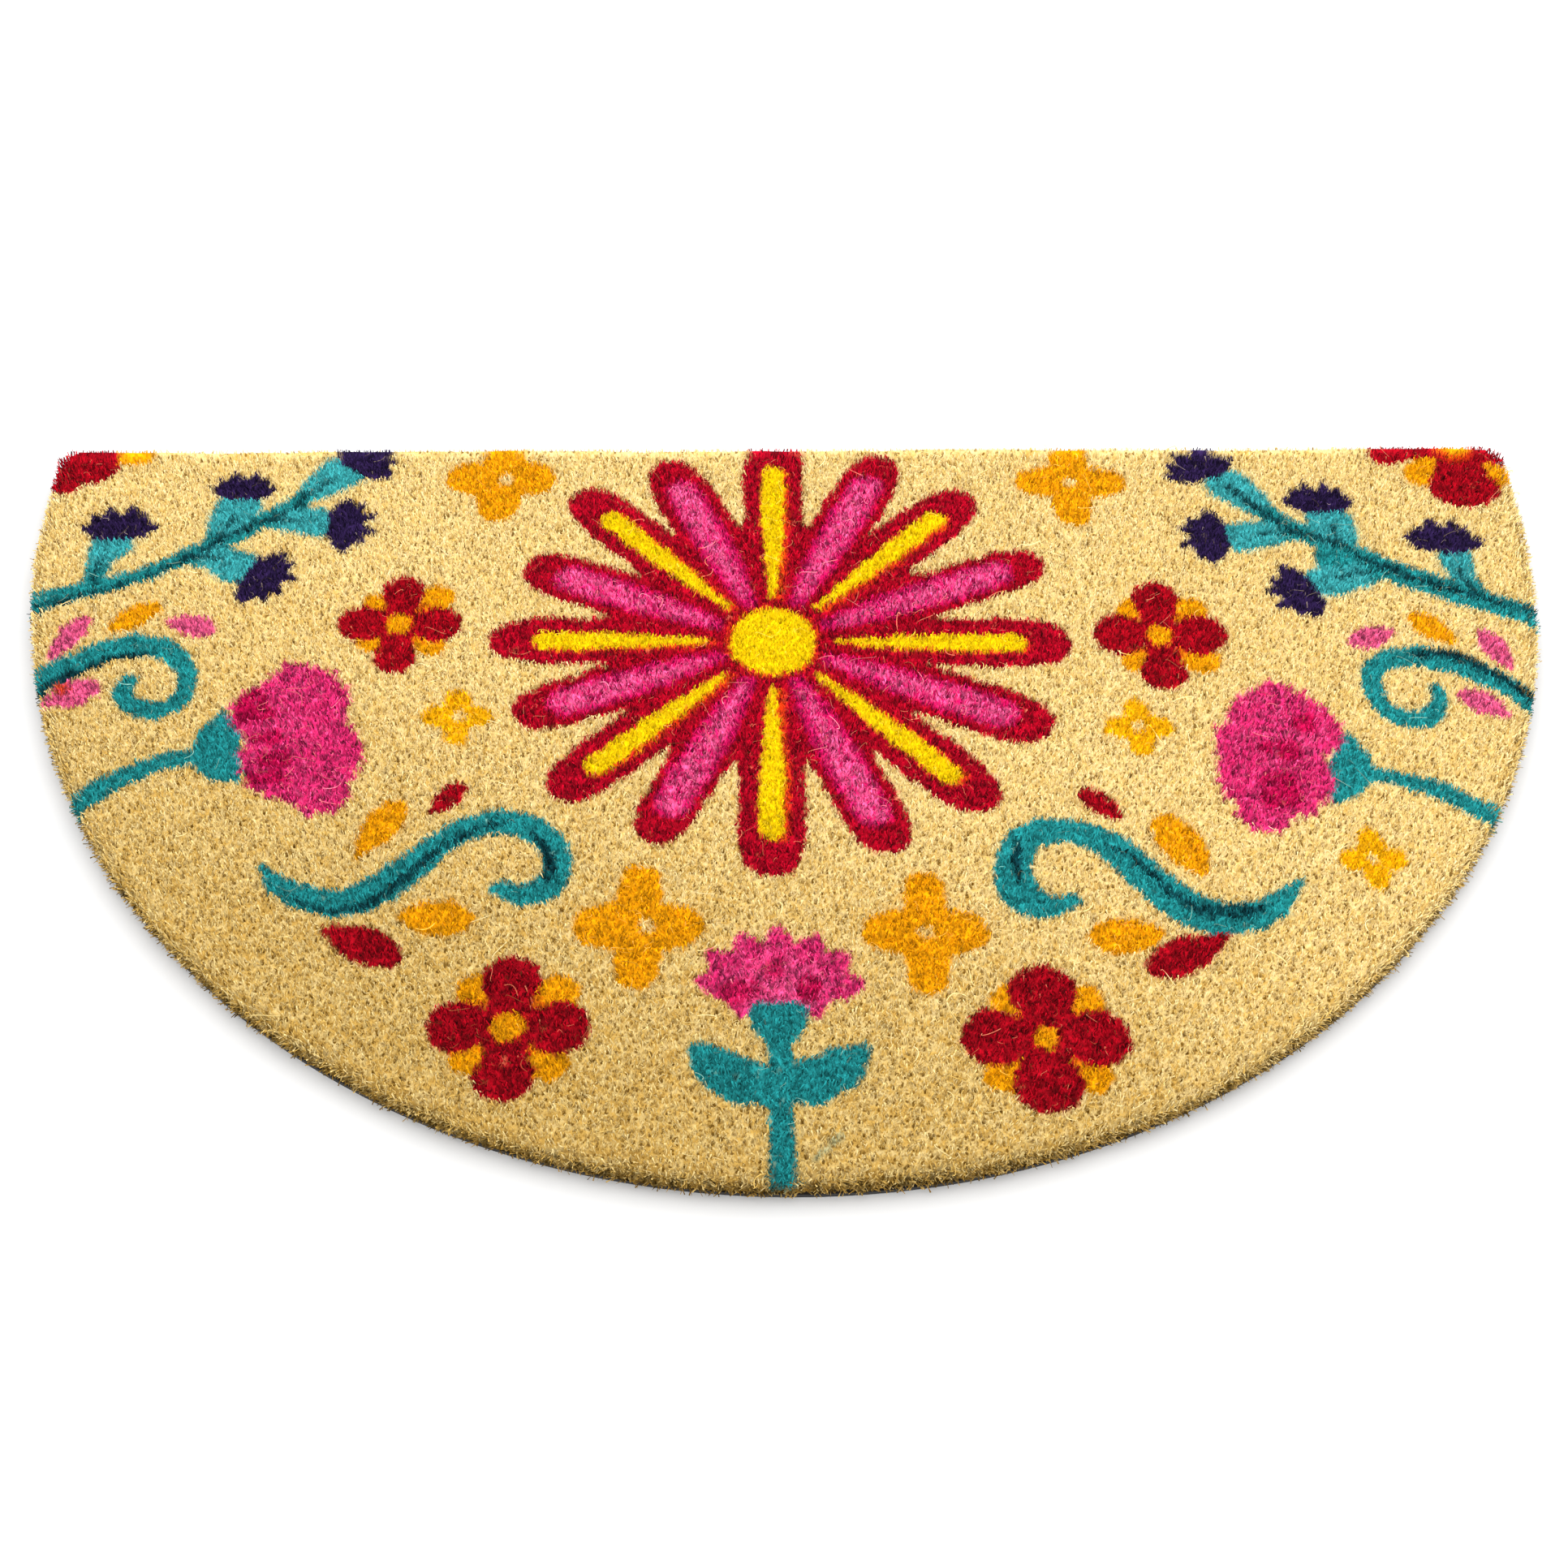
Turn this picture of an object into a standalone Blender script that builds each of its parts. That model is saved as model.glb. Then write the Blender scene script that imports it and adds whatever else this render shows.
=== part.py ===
"""Half-round coir doormat: a flat sheared pile bonded to a thin vinyl backing.

Metres, +Z up. The mat lies with its underside on z = 0, its straight back edge towards +Y and its
round front towards -Y. The origin is the middle of the underside's bounding box.
"""

import math

import bmesh
import bpy
from mathutils import Vector

# The whole mat
MAT_WIDTH = 0.762
MAT_DEPTH = 0.457
MAT_HEIGHT = 0.016

# Its outline: straight sides behind, then half an ellipse
SIDE_LENGTH = 0.050
CORNER_RADIUS = 0.008
CORNER_STEPS = 12
CURVE_STEPS = 240
POINT_SPACING = 0.006

# The backing sheet, which the pile overhangs a little
BACKING_THICKNESS = 0.002
BACKING_INSET = 0.0015

# The pile, with the clearance that it keeps to the backing
SEAT_GAP = 0.0003
SHOULDER_RADIUS = 0.004
SHOULDER_STEPS = 3

# The cut rim is a little uneven: each row is a wave that runs round it, as far out as in
RIM_WAVES = (
    {"waves_per_turn": 8, "height": 0.0005, "phase": 0.15},
    {"waves_per_turn": 19, "height": 0.0003, "phase": 0.60},
    {"waves_per_turn": 47, "height": 0.0002, "phase": 0.35},
)

# Finishes
COIR = {"color": (0.79, 0.55, 0.23), "roughness": 0.95}
VINYL = {"color": (0.018, 0.018, 0.02), "roughness": 0.6}


def clear_scene():
    """Remove every object, so that the mat stands alone."""
    for thing in list(bpy.data.objects):
        bpy.data.objects.remove(thing, do_unlink=True)


def make_material(name, color, roughness):
    """A plain Principled finish."""
    material = bpy.data.materials.new(name)
    material.use_nodes = True
    shader = material.node_tree.nodes["Principled BSDF"]
    shader.inputs["Base Color"].default_value = (*color, 1.0)
    shader.inputs["Roughness"].default_value = roughness
    shader.inputs["Metallic"].default_value = 0.0
    return material


def elliptic_arc(centre, half_width, half_depth, start, end, steps):
    """Points on an ellipse about centre, from one angle to another in degrees."""
    points = []
    for step in range(steps + 1):
        angle = math.radians(start + (end - start) * step / steps)
        offset = Vector((half_width * math.cos(angle), half_depth * math.sin(angle)))
        points.append(centre + offset)
    return points


def half_round(inset):
    """The mat's outline moved in by inset, anticlockwise from the right back corner."""
    half_width = MAT_WIDTH / 2 - inset
    back = MAT_DEPTH / 2 - inset
    curve_start = MAT_DEPTH / 2 - SIDE_LENGTH
    curve_depth = MAT_DEPTH - SIDE_LENGTH - inset
    radius = CORNER_RADIUS - inset
    right_corner = Vector((half_width - radius, back - radius))
    left_corner = Vector((radius - half_width, back - radius))
    curve_centre = Vector((0.0, curve_start))
    return (
        elliptic_arc(right_corner, radius, radius, 0, 90, CORNER_STEPS)
        + elliptic_arc(left_corner, radius, radius, 90, 180, CORNER_STEPS)
        + elliptic_arc(curve_centre, half_width, curve_depth, 180, 360, CURVE_STEPS)
    )


def evenly_spaced(points):
    """The closed outline through points, sampled again at about POINT_SPACING."""
    closed = points + [points[0]]
    lengths = [(end - start).length for start, end in zip(closed, closed[1:])]
    total = sum(lengths)
    count = round(total / POINT_SPACING)
    samples = []
    edge = 0
    passed = 0.0
    for index in range(count):
        target = total * index / count
        while passed + lengths[edge] < target:
            passed += lengths[edge]
            edge += 1
        share = (target - passed) / lengths[edge]
        samples.append(closed[edge].lerp(closed[edge + 1], share))
    return samples


def rim_wave(turn):
    """How far the rim stands out from its nominal line, at a fraction of a turn round it."""
    reach = 0.0
    for wave in RIM_WAVES:
        angle = 2 * math.pi * (wave["waves_per_turn"] * turn + wave["phase"])
        reach += wave["height"] * math.sin(angle)
    return reach


def uneven(points):
    """The outline moved out or in by rim_wave, along its own normal."""
    count = len(points)
    moved = []
    for index, point in enumerate(points):
        along = points[(index + 1) % count] - points[index - 1]
        outward = Vector((along.y, -along.x)).normalized()
        moved.append(point + outward * rim_wave(index / count))
    return moved


def extruded_outline(name, points, bottom, thickness, material, collection):
    """A flat filled curve of the given thickness, with its lower face at height bottom."""
    curve = bpy.data.curves.new(name, "CURVE")
    curve.dimensions = "2D"
    curve.fill_mode = "BOTH"
    curve.extrude = thickness / 2
    curve.materials.append(material)
    spline = curve.splines.new("POLY")
    spline.points.add(len(points) - 1)
    for target, point in zip(spline.points, points):
        target.co = (point.x, point.y, 0.0, 1.0)
    spline.use_cyclic_u = True
    slab = bpy.data.objects.new(name, curve)
    slab.location.z = bottom + thickness / 2
    collection.objects.link(slab)
    return slab


def as_welded_mesh(slab, collection):
    """Replace a curve object by a closed mesh object of the same name and place."""
    name = slab.name
    bpy.context.view_layer.update()
    evaluated = slab.evaluated_get(bpy.context.evaluated_depsgraph_get())
    mesh = bpy.data.meshes.new_from_object(evaluated)
    matrix = slab.matrix_world.copy()
    bpy.data.objects.remove(slab, do_unlink=True)
    shape = bmesh.new()
    shape.from_mesh(mesh)
    bmesh.ops.remove_doubles(shape, verts=shape.verts, dist=0.00001)
    bmesh.ops.dissolve_limit(
        shape, angle_limit=math.radians(1), verts=shape.verts, edges=shape.edges
    )
    shape.to_mesh(mesh)
    shape.free()
    mesh.name = name
    welded = bpy.data.objects.new(name, mesh)
    welded.matrix_world = matrix
    collection.objects.link(welded)
    return welded


def round_top_rim(slab, radius, steps):
    """A Bevel modifier on the edges round the upper face alone."""
    shape = bmesh.new()
    shape.from_mesh(slab.data)
    top = max(vert.co.z for vert in shape.verts)
    weight = shape.edges.layers.float.new("bevel_weight_edge")
    for edge in shape.edges:
        on_top = all(math.isclose(vert.co.z, top, abs_tol=0.00001) for vert in edge.verts)
        if on_top and edge.calc_face_angle() > math.radians(45):
            edge[weight] = 1.0
    shape.to_mesh(slab.data)
    shape.free()
    bevel = slab.modifiers.new("Sheared shoulder", "BEVEL")
    bevel.limit_method = "WEIGHT"
    bevel.offset_type = "OFFSET"
    bevel.width = radius
    bevel.segments = steps


def build_backing(collection):
    """The vinyl sheet that the coir is bonded to, with a clean knife-cut edge."""
    material = make_material("black_vinyl", **VINYL)
    outline = evenly_spaced(half_round(BACKING_INSET))
    return extruded_outline("backing", outline, 0.0, BACKING_THICKNESS, material, collection)


def build_pile(collection):
    """The block of upright coir fibres, sheared level and a little uneven round its rim."""
    material = make_material("bleached_coir", **COIR)
    bottom = BACKING_THICKNESS + SEAT_GAP
    outline = uneven(evenly_spaced(half_round(0.0)))
    block = extruded_outline(
        "coir_pile", outline, bottom, MAT_HEIGHT - bottom, material, collection
    )
    pile = as_welded_mesh(block, collection)
    round_top_rim(pile, SHOULDER_RADIUS, SHOULDER_STEPS)
    return pile


def main():
    clear_scene()
    collection = bpy.data.collections.new("half_round_doormat")
    bpy.context.scene.collection.children.link(collection)
    build_backing(collection)
    build_pile(collection)


main()
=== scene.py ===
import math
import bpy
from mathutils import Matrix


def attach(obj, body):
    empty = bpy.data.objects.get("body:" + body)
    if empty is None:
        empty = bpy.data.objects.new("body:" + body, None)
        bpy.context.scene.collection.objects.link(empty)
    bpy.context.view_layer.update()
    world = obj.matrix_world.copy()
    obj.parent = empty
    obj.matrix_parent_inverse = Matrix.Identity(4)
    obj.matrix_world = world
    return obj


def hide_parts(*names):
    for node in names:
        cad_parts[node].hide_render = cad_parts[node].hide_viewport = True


bl_info = {
    "name": "Half-round coir doormat",
    "version": (1, 0, 0),
    "blender": (4, 5, 0),
    "location": "3D View > Sidebar > Doormat",
    "description": "A half-round doormat of sheared coir on vinyl, with a stencilled flower print",
    "category": "Add Mesh",
}

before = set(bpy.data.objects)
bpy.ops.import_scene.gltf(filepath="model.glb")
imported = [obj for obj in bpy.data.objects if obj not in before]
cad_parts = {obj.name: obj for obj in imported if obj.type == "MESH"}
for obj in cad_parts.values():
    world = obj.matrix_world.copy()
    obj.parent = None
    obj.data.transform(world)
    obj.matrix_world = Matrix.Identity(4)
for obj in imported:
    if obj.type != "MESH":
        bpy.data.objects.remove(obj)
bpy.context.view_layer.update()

from collections import namedtuple
from functools import partial

import bpy
import numpy as np
from bpy.props import FloatProperty, FloatVectorProperty, IntProperty, PointerProperty
from mathutils import Matrix, Vector
from mathutils.geometry import delaunay_2d_cdt

MM = 0.001

# The outline of the CAD solids, from the same named sizes
CORNER_STEPS = 12
CURVE_STEPS = 240
POINT_SPACING = 0.006
RIM_WAVES = (
    {"waves_per_turn": 8, "height": 0.0005, "phase": 0.15},
    {"waves_per_turn": 19, "height": 0.0003, "phase": 0.60},
    {"waves_per_turn": 47, "height": 0.0002, "phase": 0.35},
)


def linear(code):
    """A colour given as an sRGB hex code, as linear red, green and blue."""
    parts = [int(code[start : start + 2], 16) / 255 for start in (1, 3, 5)]
    return tuple(
        part / 12.92 if part <= 0.04045 else ((part + 0.055) / 1.055) ** 2.4 for part in parts
    )


# Nodes stand in rows of this many, this far apart, so that a tree can be read in the editor
NODES_IN_ROW = 12
NODE_SPACING = (220, -260)


def feed(tree, node, inputs):
    """Set a node's inputs by name or place, or link them to a socket or to a node's first output."""
    for key, value in inputs.items():
        if isinstance(value, bpy.types.Node):
            value = value.outputs[0]
        if isinstance(value, bpy.types.NodeSocket):
            tree.links.new(value, node.inputs[key])
        else:
            node.inputs[key].default_value = value


def add_node(tree, kind, inputs=None, **settings):
    """Add a node, set its properties and feed its inputs."""
    node = tree.nodes.new(kind)
    row, column = divmod(len(tree.nodes), NODES_IN_ROW)
    node.location = (NODE_SPACING[0] * column, NODE_SPACING[1] * row)
    for name, value in settings.items():
        setattr(node, name, value)
    feed(tree, node, inputs or {})
    return node


# Settings that a user would change


def length(name, text, default):
    """A size in metres."""
    return FloatProperty(name=name, description=text, default=default, min=0.0, unit="LENGTH")


def share(name, text, default):
    """A plain number from 0 to 2."""
    return FloatProperty(name=name, description=text, default=default, min=0.0, max=2.0)


def colour(name, text, code):
    """A colour that starts from an sRGB hex code."""
    return FloatVectorProperty(
        name=name, description=text, default=linear(code), subtype="COLOR", min=0.0, max=1.0
    )


class DoormatSizes(bpy.types.PropertyGroup):
    """Sizes of the mat and of its coir pile."""

    width: length("Width", "Length of the straight back edge", 0.762)
    depth: length("Depth", "From the back edge to the front of the curve", 0.457)
    height: length("Height", "From the floor to the sheared tips", 0.016)
    side: length("Straight side", "Straight run between a back corner and the curve", 0.050)
    corner: length("Corner radius", "Radius of the two back corners", 0.008)
    fibre_width: length("Fibre width", "Width of a lock of a few fibres", 0.00082)
    tuft: length("Tuft size", "Distance between the tufts of the pile", 0.0029)
    pit: length("Pit depth", "How much lower the pile is between its tufts", 0.0013)
    tuft_lean: share("Tuft lean", "How far whole tufts lean", 0.08)
    fibre_lean: share("Fibre lean", "How far each fibre leans on its own", 0.46)
    spacing: length("Lock spacing", "Least distance between the roots of two locks", 0.00085)
    pieces: IntProperty(
        name="Pile pieces", description="How many interleaved pieces make up the pile", default=4, min=1
    )


class DoormatColours(bpy.types.PropertyGroup):
    """Colours of the coir, the vinyl and the stencil inks."""

    cream: colour("Pale coir", "The palest bleached fibres", "#fce7ae")
    straw: colour("Coir", "Most of the fibres", "#f3d991")
    golden: colour("Golden coir", "The least bleached fibres", "#e0b963")
    husk: colour("Coir roots", "The shaded, unbleached lower ends", "#a77a24")
    vinyl: colour("Vinyl", "The backing sheet", "#171515")
    crimson: colour("Crimson ink", "Petals of the large flower", "#a80320")
    garnet: colour("Garnet ink", "Petals of the small flowers and the dark drops", "#9f0418")
    magenta: colour("Magenta ink", "Fringe of the pink petals", "#c8125f")
    ruby: colour("Ruby ink", "Spots on the thistles", "#b00545")
    pink: colour("Pink ink", "Core of the pink petals", "#e85a92")
    rose: colour("Rose ink", "Thistles and pink drops", "#d02a6b")
    blush: colour("Blush ink", "Pink drops round the curls", "#dc5a88")
    flame: colour("Flame ink", "Where yellow runs into crimson", "#e4460c")
    yellow: colour("Yellow ink", "Stripes and disc of the large flower", "#efcd02")
    orange: colour("Orange ink", "Four-petalled flowers and drops", "#e8a004")
    amber: colour("Amber ink", "The smallest flowers", "#efb104")
    teal: colour("Teal ink", "Stems, leaves and scrolls", "#228d8f")
    aqua: colour("Light teal ink", "Calyxes under the cornflowers", "#46adb1")
    deep_teal: colour("Deep teal ink", "Shading line on stems and scrolls", "#07383f")
    navy: colour("Navy ink", "Cornflower heads", "#291a42")


# Outline


def arc(centre, half_width, half_depth, start, end, steps):
    """Points on an ellipse about centre, from one angle to another in degrees."""
    angles = np.radians(np.linspace(start, end, steps + 1))
    across = centre[0] + half_width * np.cos(angles)
    along = centre[1] + half_depth * np.sin(angles)
    return np.column_stack((across, along))


def rim_line(sizes, inset=0.0):
    """The mat's uneven rim moved in by inset: its points, and their outward normals."""
    half_width = sizes.width / 2
    back = sizes.depth / 2
    corner_x = half_width - sizes.corner
    corner_y = back - sizes.corner
    corner = (sizes.corner, sizes.corner)
    line = np.vstack(
        (
            arc((corner_x, corner_y), *corner, 0, 90, CORNER_STEPS),
            arc((-corner_x, corner_y), *corner, 90, 180, CORNER_STEPS),
            arc((0, back - sizes.side), half_width, sizes.depth - sizes.side, 180, 360, CURVE_STEPS),
        )
    )
    closed = np.vstack((line, line[:1]))
    passed = np.concatenate(([0], np.cumsum(np.hypot(*np.diff(closed, axis=0).T))))
    count = round(passed[-1] / POINT_SPACING)
    targets = passed[-1] * np.arange(count) / count
    points = np.column_stack([np.interp(targets, passed, closed[:, axis]) for axis in (0, 1)])
    along = np.roll(points, -1, axis=0) - np.roll(points, 1, axis=0)
    normals = np.column_stack((along[:, 1], -along[:, 0]))
    normals /= np.linalg.norm(normals, axis=1)[:, None]
    turn = np.arange(count) / count
    wave = sum(
        row["height"] * np.sin(2 * math.pi * (row["waves_per_turn"] * turn + row["phase"]))
        for row in RIM_WAVES
    )
    return points + normals * (wave - inset)[:, None], normals


# The print: every motif is a few strokes, each a line of changing width, in millimetres

# Where share is under 1, only that share of the fibres has taken the ink
Stroke = namedtuple("Stroke", "ink spine half_widths softness strength share", defaults=(0.8, 1.0, 1.0))

# The stencil lay a little askew on the mat
PRINT_TURN = math.radians(-1.08)
PRINT_SHIFT = -5.4
PRINT_RISE = 1.3
# Ink spreads a little past the edge of the stencil
PRINT_SWELL = 0.4
SPINE_STEPS = 6
EDGE_WAVES = (
    {"length": 17.0, "angle": 20, "height": 0.35},
    {"length": 9.0, "angle": 75, "height": 0.30},
    {"length": 7.0, "angle": 130, "height": 0.25},
    {"length": 4.5, "angle": 165, "height": 0.20},
)
BARE = "bare"

# The petals of the large flower: angle, reach from its middle, half width, radius of the end
PETALS = (
    (0.2, 147.3, 17.2, 14.5),
    (23.8, 148.3, 14.8, 12.5),
    (47.3, 149.3, 16.6, 12.5),
    (67.2, 150.0, 15.8, 12.0),
    (90.4, 152.0, 15.8, 13.5),
    (113.6, 145.0, 16.0, 12.5),
    (133.8, 149.0, 15.8, 12.5),
    (157.2, 136.0, 16.0, 13.5),
    (180.5, 139.8, 16.2, 12.5),
    (203.2, 134.8, 15.6, 12.5),
    (225.3, 145.5, 15.8, 12.5),
    (246.6, 142.6, 14.2, 12.0),
    (270.1, 151.0, 16.2, 13.5),
    (293.0, 147.2, 15.2, 12.5),
    (313.9, 149.0, 16.2, 13.8),
    (336.6, 145.8, 16.6, 14.8),
)
USUAL_REACH = 147

# The round flowers: middle, radius of the dot, reach and half width of the petals across and
# upright, and the place and radius of each lobe behind them
ROUND_FLOWERS = (
    {
        "middle": (-189, 94.5),
        "dot": 5.6,
        "across": (30.2, 12.0),
        "upright": (33.6, 10.6),
        "lobes": ((16.5, 18.5, 9.0), (-12.5, 13.5, 7.4), (-13, -12, 7.0), (16.5, -14, 7.6)),
    },
    {
        "middle": (187.5, 92),
        "dot": 5.5,
        "across": (33.0, 13.6),
        "upright": (37.2, 11.5),
        "lobes": ((16.5, 17, 8.6), (-13, 17, 7.0), (-13.5, -18, 7.0), (19, -17, 9.4)),
    },
    {
        "middle": (-117, -151.8),
        "dot": 6.8,
        "across": (35.6, 14.0),
        "upright": (38.8, 13.2),
        "lobes": ((21, 18.5, 9.5), (-16, 19.5, 8.2), (-16, -16, 8.4), (18.5, -19, 9.2)),
    },
    {
        "middle": (115.3, -155),
        "dot": 4.6,
        "across": (36.6, 15.2),
        "upright": (39.4, 15.4),
        "lobes": ((18, 20, 8.2), (-15.5, 20, 8.2), (-18, -19.5, 9.5), (18, -19.5, 9.5)),
    },
)


def ray(radii, degrees):
    """Points at some distances from the middle, all at one angle."""
    angle = math.radians(degrees)
    return [(radius * math.cos(angle), radius * math.sin(angle)) for radius in radii]


def placed(strokes, x, y, turn=0.0, size=1.0):
    """Strokes scaled, turned by degrees and moved."""
    cosine = math.cos(math.radians(turn)) * size
    sine = math.sin(math.radians(turn)) * size
    moved = []
    for stroke in strokes:
        spine = [(x + cosine * a - sine * b, y + sine * a + cosine * b) for a, b in stroke.spine]
        widths = [width * size for width in stroke.half_widths]
        moved.append(stroke._replace(spine=spine, half_widths=widths))
    return moved


def drop(ink, point, crown, width):
    """A seed shape from its pointed end to its round end."""
    point = np.array(point, float)
    crown = np.array(crown, float)
    reach = np.linalg.norm(crown - point)
    crown = crown - (crown - point) * (0.36 * width / reach)
    point = point + (crown - point) * (0.5 / reach)
    spine = [tuple(point + (crown - point) * step) for step in (0, 0.25, 0.5, 0.75, 1)]
    profile = (0.08, 0.55, 0.88, 1.0, 0.70)
    return Stroke(ink, spine, [width / 2 * part for part in profile])


def large_flower():
    """Sixteen petals round a yellow disc, striped yellow and pink in turn."""
    strokes = []
    for angle, reach, wide, end in PETALS:
        radii = (8, 45, 80, 92, 110, reach - end - 9, reach - end)
        widths = (7, 12.2, 16.2, wide - 0.9, wide - 0.3, (wide + end) / 2 + 0.5, end)
        strokes.append(Stroke("crimson", ray(radii, angle), widths))
    for angle, reach, *_ in PETALS[1::2]:
        tip = 121 + (reach - USUAL_REACH)
        strokes.append(Stroke("magenta", ray((30, 60, 95, tip), angle), (3.5, 8.0, 9.4, 8.6), 2.4))
        core = ray((36, 66, 95, tip), angle)
        strokes.append(Stroke("pink", core, (1.8, 4.2, 6.2, 6.2), 3.4, 1.0, 0.70))
    for angle, reach, *_ in PETALS[::2]:
        stripe = ray((33, 60, 90, 119 + (reach - USUAL_REACH)), angle)
        under = [(a + 2.8, b - 1.2) for a, b in stripe]
        strokes.append(Stroke("flame", under, (1.8, 3.8, 5.4, 5.0), 2.2, 0.85, 0.85))
        strokes.append(Stroke("yellow", stripe, (1.2, 3.6, 5.4, 5.5), 1.2))
    strokes.append(Stroke("flame", [(0, -2), (0, 2)], (22.4, 22.4), 2.2, 0.75, 0.8))
    strokes.append(Stroke("yellow", [(0, -2), (0, 2)], (20.3, 20.3)))
    return strokes


def round_flower(flower):
    """Four round garnet petals over four orange lobes, with an orange dot."""
    strokes = []
    for x, y, radius in flower["lobes"]:
        strokes.append(Stroke("orange", [(x * 0.55, y * 0.55), (x, y)], (radius * 0.8, radius)))
        strokes.append(Stroke("flame", [(x * 0.5, y * 0.5)], (radius * 0.7,), 3.0, 0.6, 0.8))
    for turn in range(0, 360, 90):
        reach, half = flower["upright" if turn % 180 else "across"]
        spine = [(3, 0), (reach * 0.48, 0), (reach - half, 0)]
        petal = [Stroke("garnet", spine, (half * 0.6, half * 0.78, half))]
        strokes += placed(petal, 0, 0, turn)
    dot = flower["dot"]
    strokes.append(Stroke("flame", [(0.4, 0)], (dot + 0.9,), 1.4, 0.6))
    strokes.append(Stroke("orange", [(0, -0.8), (0, 0.8)], (dot, dot)))
    return placed(strokes, *flower["middle"])


def corner_left():
    """The part of a round flower that the mat's left back corner has."""
    return [
        Stroke("garnet", [(-362, 211), (-364, 214)], (14.6, 15)),
        Stroke("garnet", [(-376, 216), (-373, 197)], (12, 9)),
        Stroke("orange", [(-341, 222), (-340, 220)], (9, 9.5)),
    ]


def corner_right():
    """The part of a round flower that the mat's right back corner has."""
    return [
        Stroke("orange", [(344, 224), (337, 214)], (7.5, 9.4)),
        Stroke("orange", [(371, 220), (377, 213)], (6, 7.5)),
        Stroke("garnet", [(350, 235), (334, 235), (320, 231)], (6, 8.4, 9.6)),
        Stroke("garnet", [(358, 228), (358, 214), (357.5, 205)], (10.5, 14, 16.8)),
        Stroke("garnet", [(350, 202), (366, 203)], (10.5, 11)),
        Stroke("garnet", [(357, 203), (359, 191)], (12, 3.5)),
        Stroke("garnet", [(366, 233), (384, 228)], (6.5, 7.5)),
        Stroke("flame", [(358, 233)], (8.4,), 2.5, 0.8),
        Stroke("orange", [(358, 235)], (6.4,), 1.4),
    ]


# The open flowers: ink, middle, reach of the petals across and upright, their widths, radius of the
# bare spot and how far aside it lies
OPEN_FLOWERS = (
    ("orange", (-146.8, 203), (28.5, 32.5, 27, 22.5, 3.2, 2.8)),
    ("orange", (151, 205), (28.5, 34, 23.5, 20.5, 3.2, 0)),
    ("orange", (-63, -95.5), (29, 35.5, 27.5, 22, 3.0, 3.7)),
    ("orange", (65.3, -97.5), (28, 35, 25.5, 20, 3.2, 0)),
    ("amber", (-155, 32), (16.5, 18.2, 15, 12.8, 2.8, 1.2)),
    ("amber", (171.5, 29.2), (16.8, 18.8, 14.5, 12.4, 2.6, 0)),
    ("amber", (272, -52.5), (15, 18.3, 15, 12, 1.6, 0)),
)


def open_flower(ink, across, upright, flat_width, tall_width, hole, aside):
    """Four petals round a bare spot, which may lie a little aside."""
    strokes = []
    for turn in range(0, 360, 90):
        reach = upright if turn % 180 else across
        half = (tall_width if turn % 180 else flat_width) / 2
        end = reach - half * 0.86
        spine = [(hole, 0), (end * 0.62, 0), (end, 0)]
        petal = [Stroke(ink, spine, (half * 0.62, half, half * 0.86))]
        strokes += placed(petal, 0, 0, turn)
    strokes.append(Stroke(BARE, [(aside, 0)], (hole,), 1.0))
    return strokes


def cornflower(x, y, turn, size=1.0):
    """A spiky navy head that opens upwards, turned by degrees."""
    tips = ((-19.5, 4), (-15, 12), (-6.5, 19), (6.0, 18.5), (13, 13), (20, 3))
    strokes = [Stroke("navy", [(-10, 1), (10, 1)], (6, 6))]
    for across, up in tips:
        root = (across * 0.35, 0.5)
        middle = ((root[0] + across) / 2, (root[1] + up) / 2)
        strokes.append(Stroke("navy", [root, middle, (across, up)], (6.5, 5.0, 0.6)))
    return placed(strokes, x, y, turn, size)


def stalks(stem, stem_widths, branches, shade, shade_widths):
    """Teal stem and calyxes, with a dark line that runs along the stem and into each calyx."""
    strokes = [Stroke("teal", stem, stem_widths)]
    for branch in branches:
        strokes.append(Stroke("teal", branch["spine"], branch["half_widths"]))
        strokes.append(Stroke("aqua", branch["spine"][1:], branch["half_widths"][1:], 5.0, 0.7))
    strokes.append(Stroke("deep_teal", shade, shade_widths, 1.4, 0.95, 0.9))
    for branch in branches:
        root, neck, crown = branch["spine"]
        inside = ((neck[0] + crown[0]) / 2, (neck[1] + crown[1]) / 2)
        strokes.append(Stroke("deep_teal", [root, neck, inside], (1.5, 1.4, 0.3), 1.4, 0.85, 0.8))
    return strokes


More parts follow.
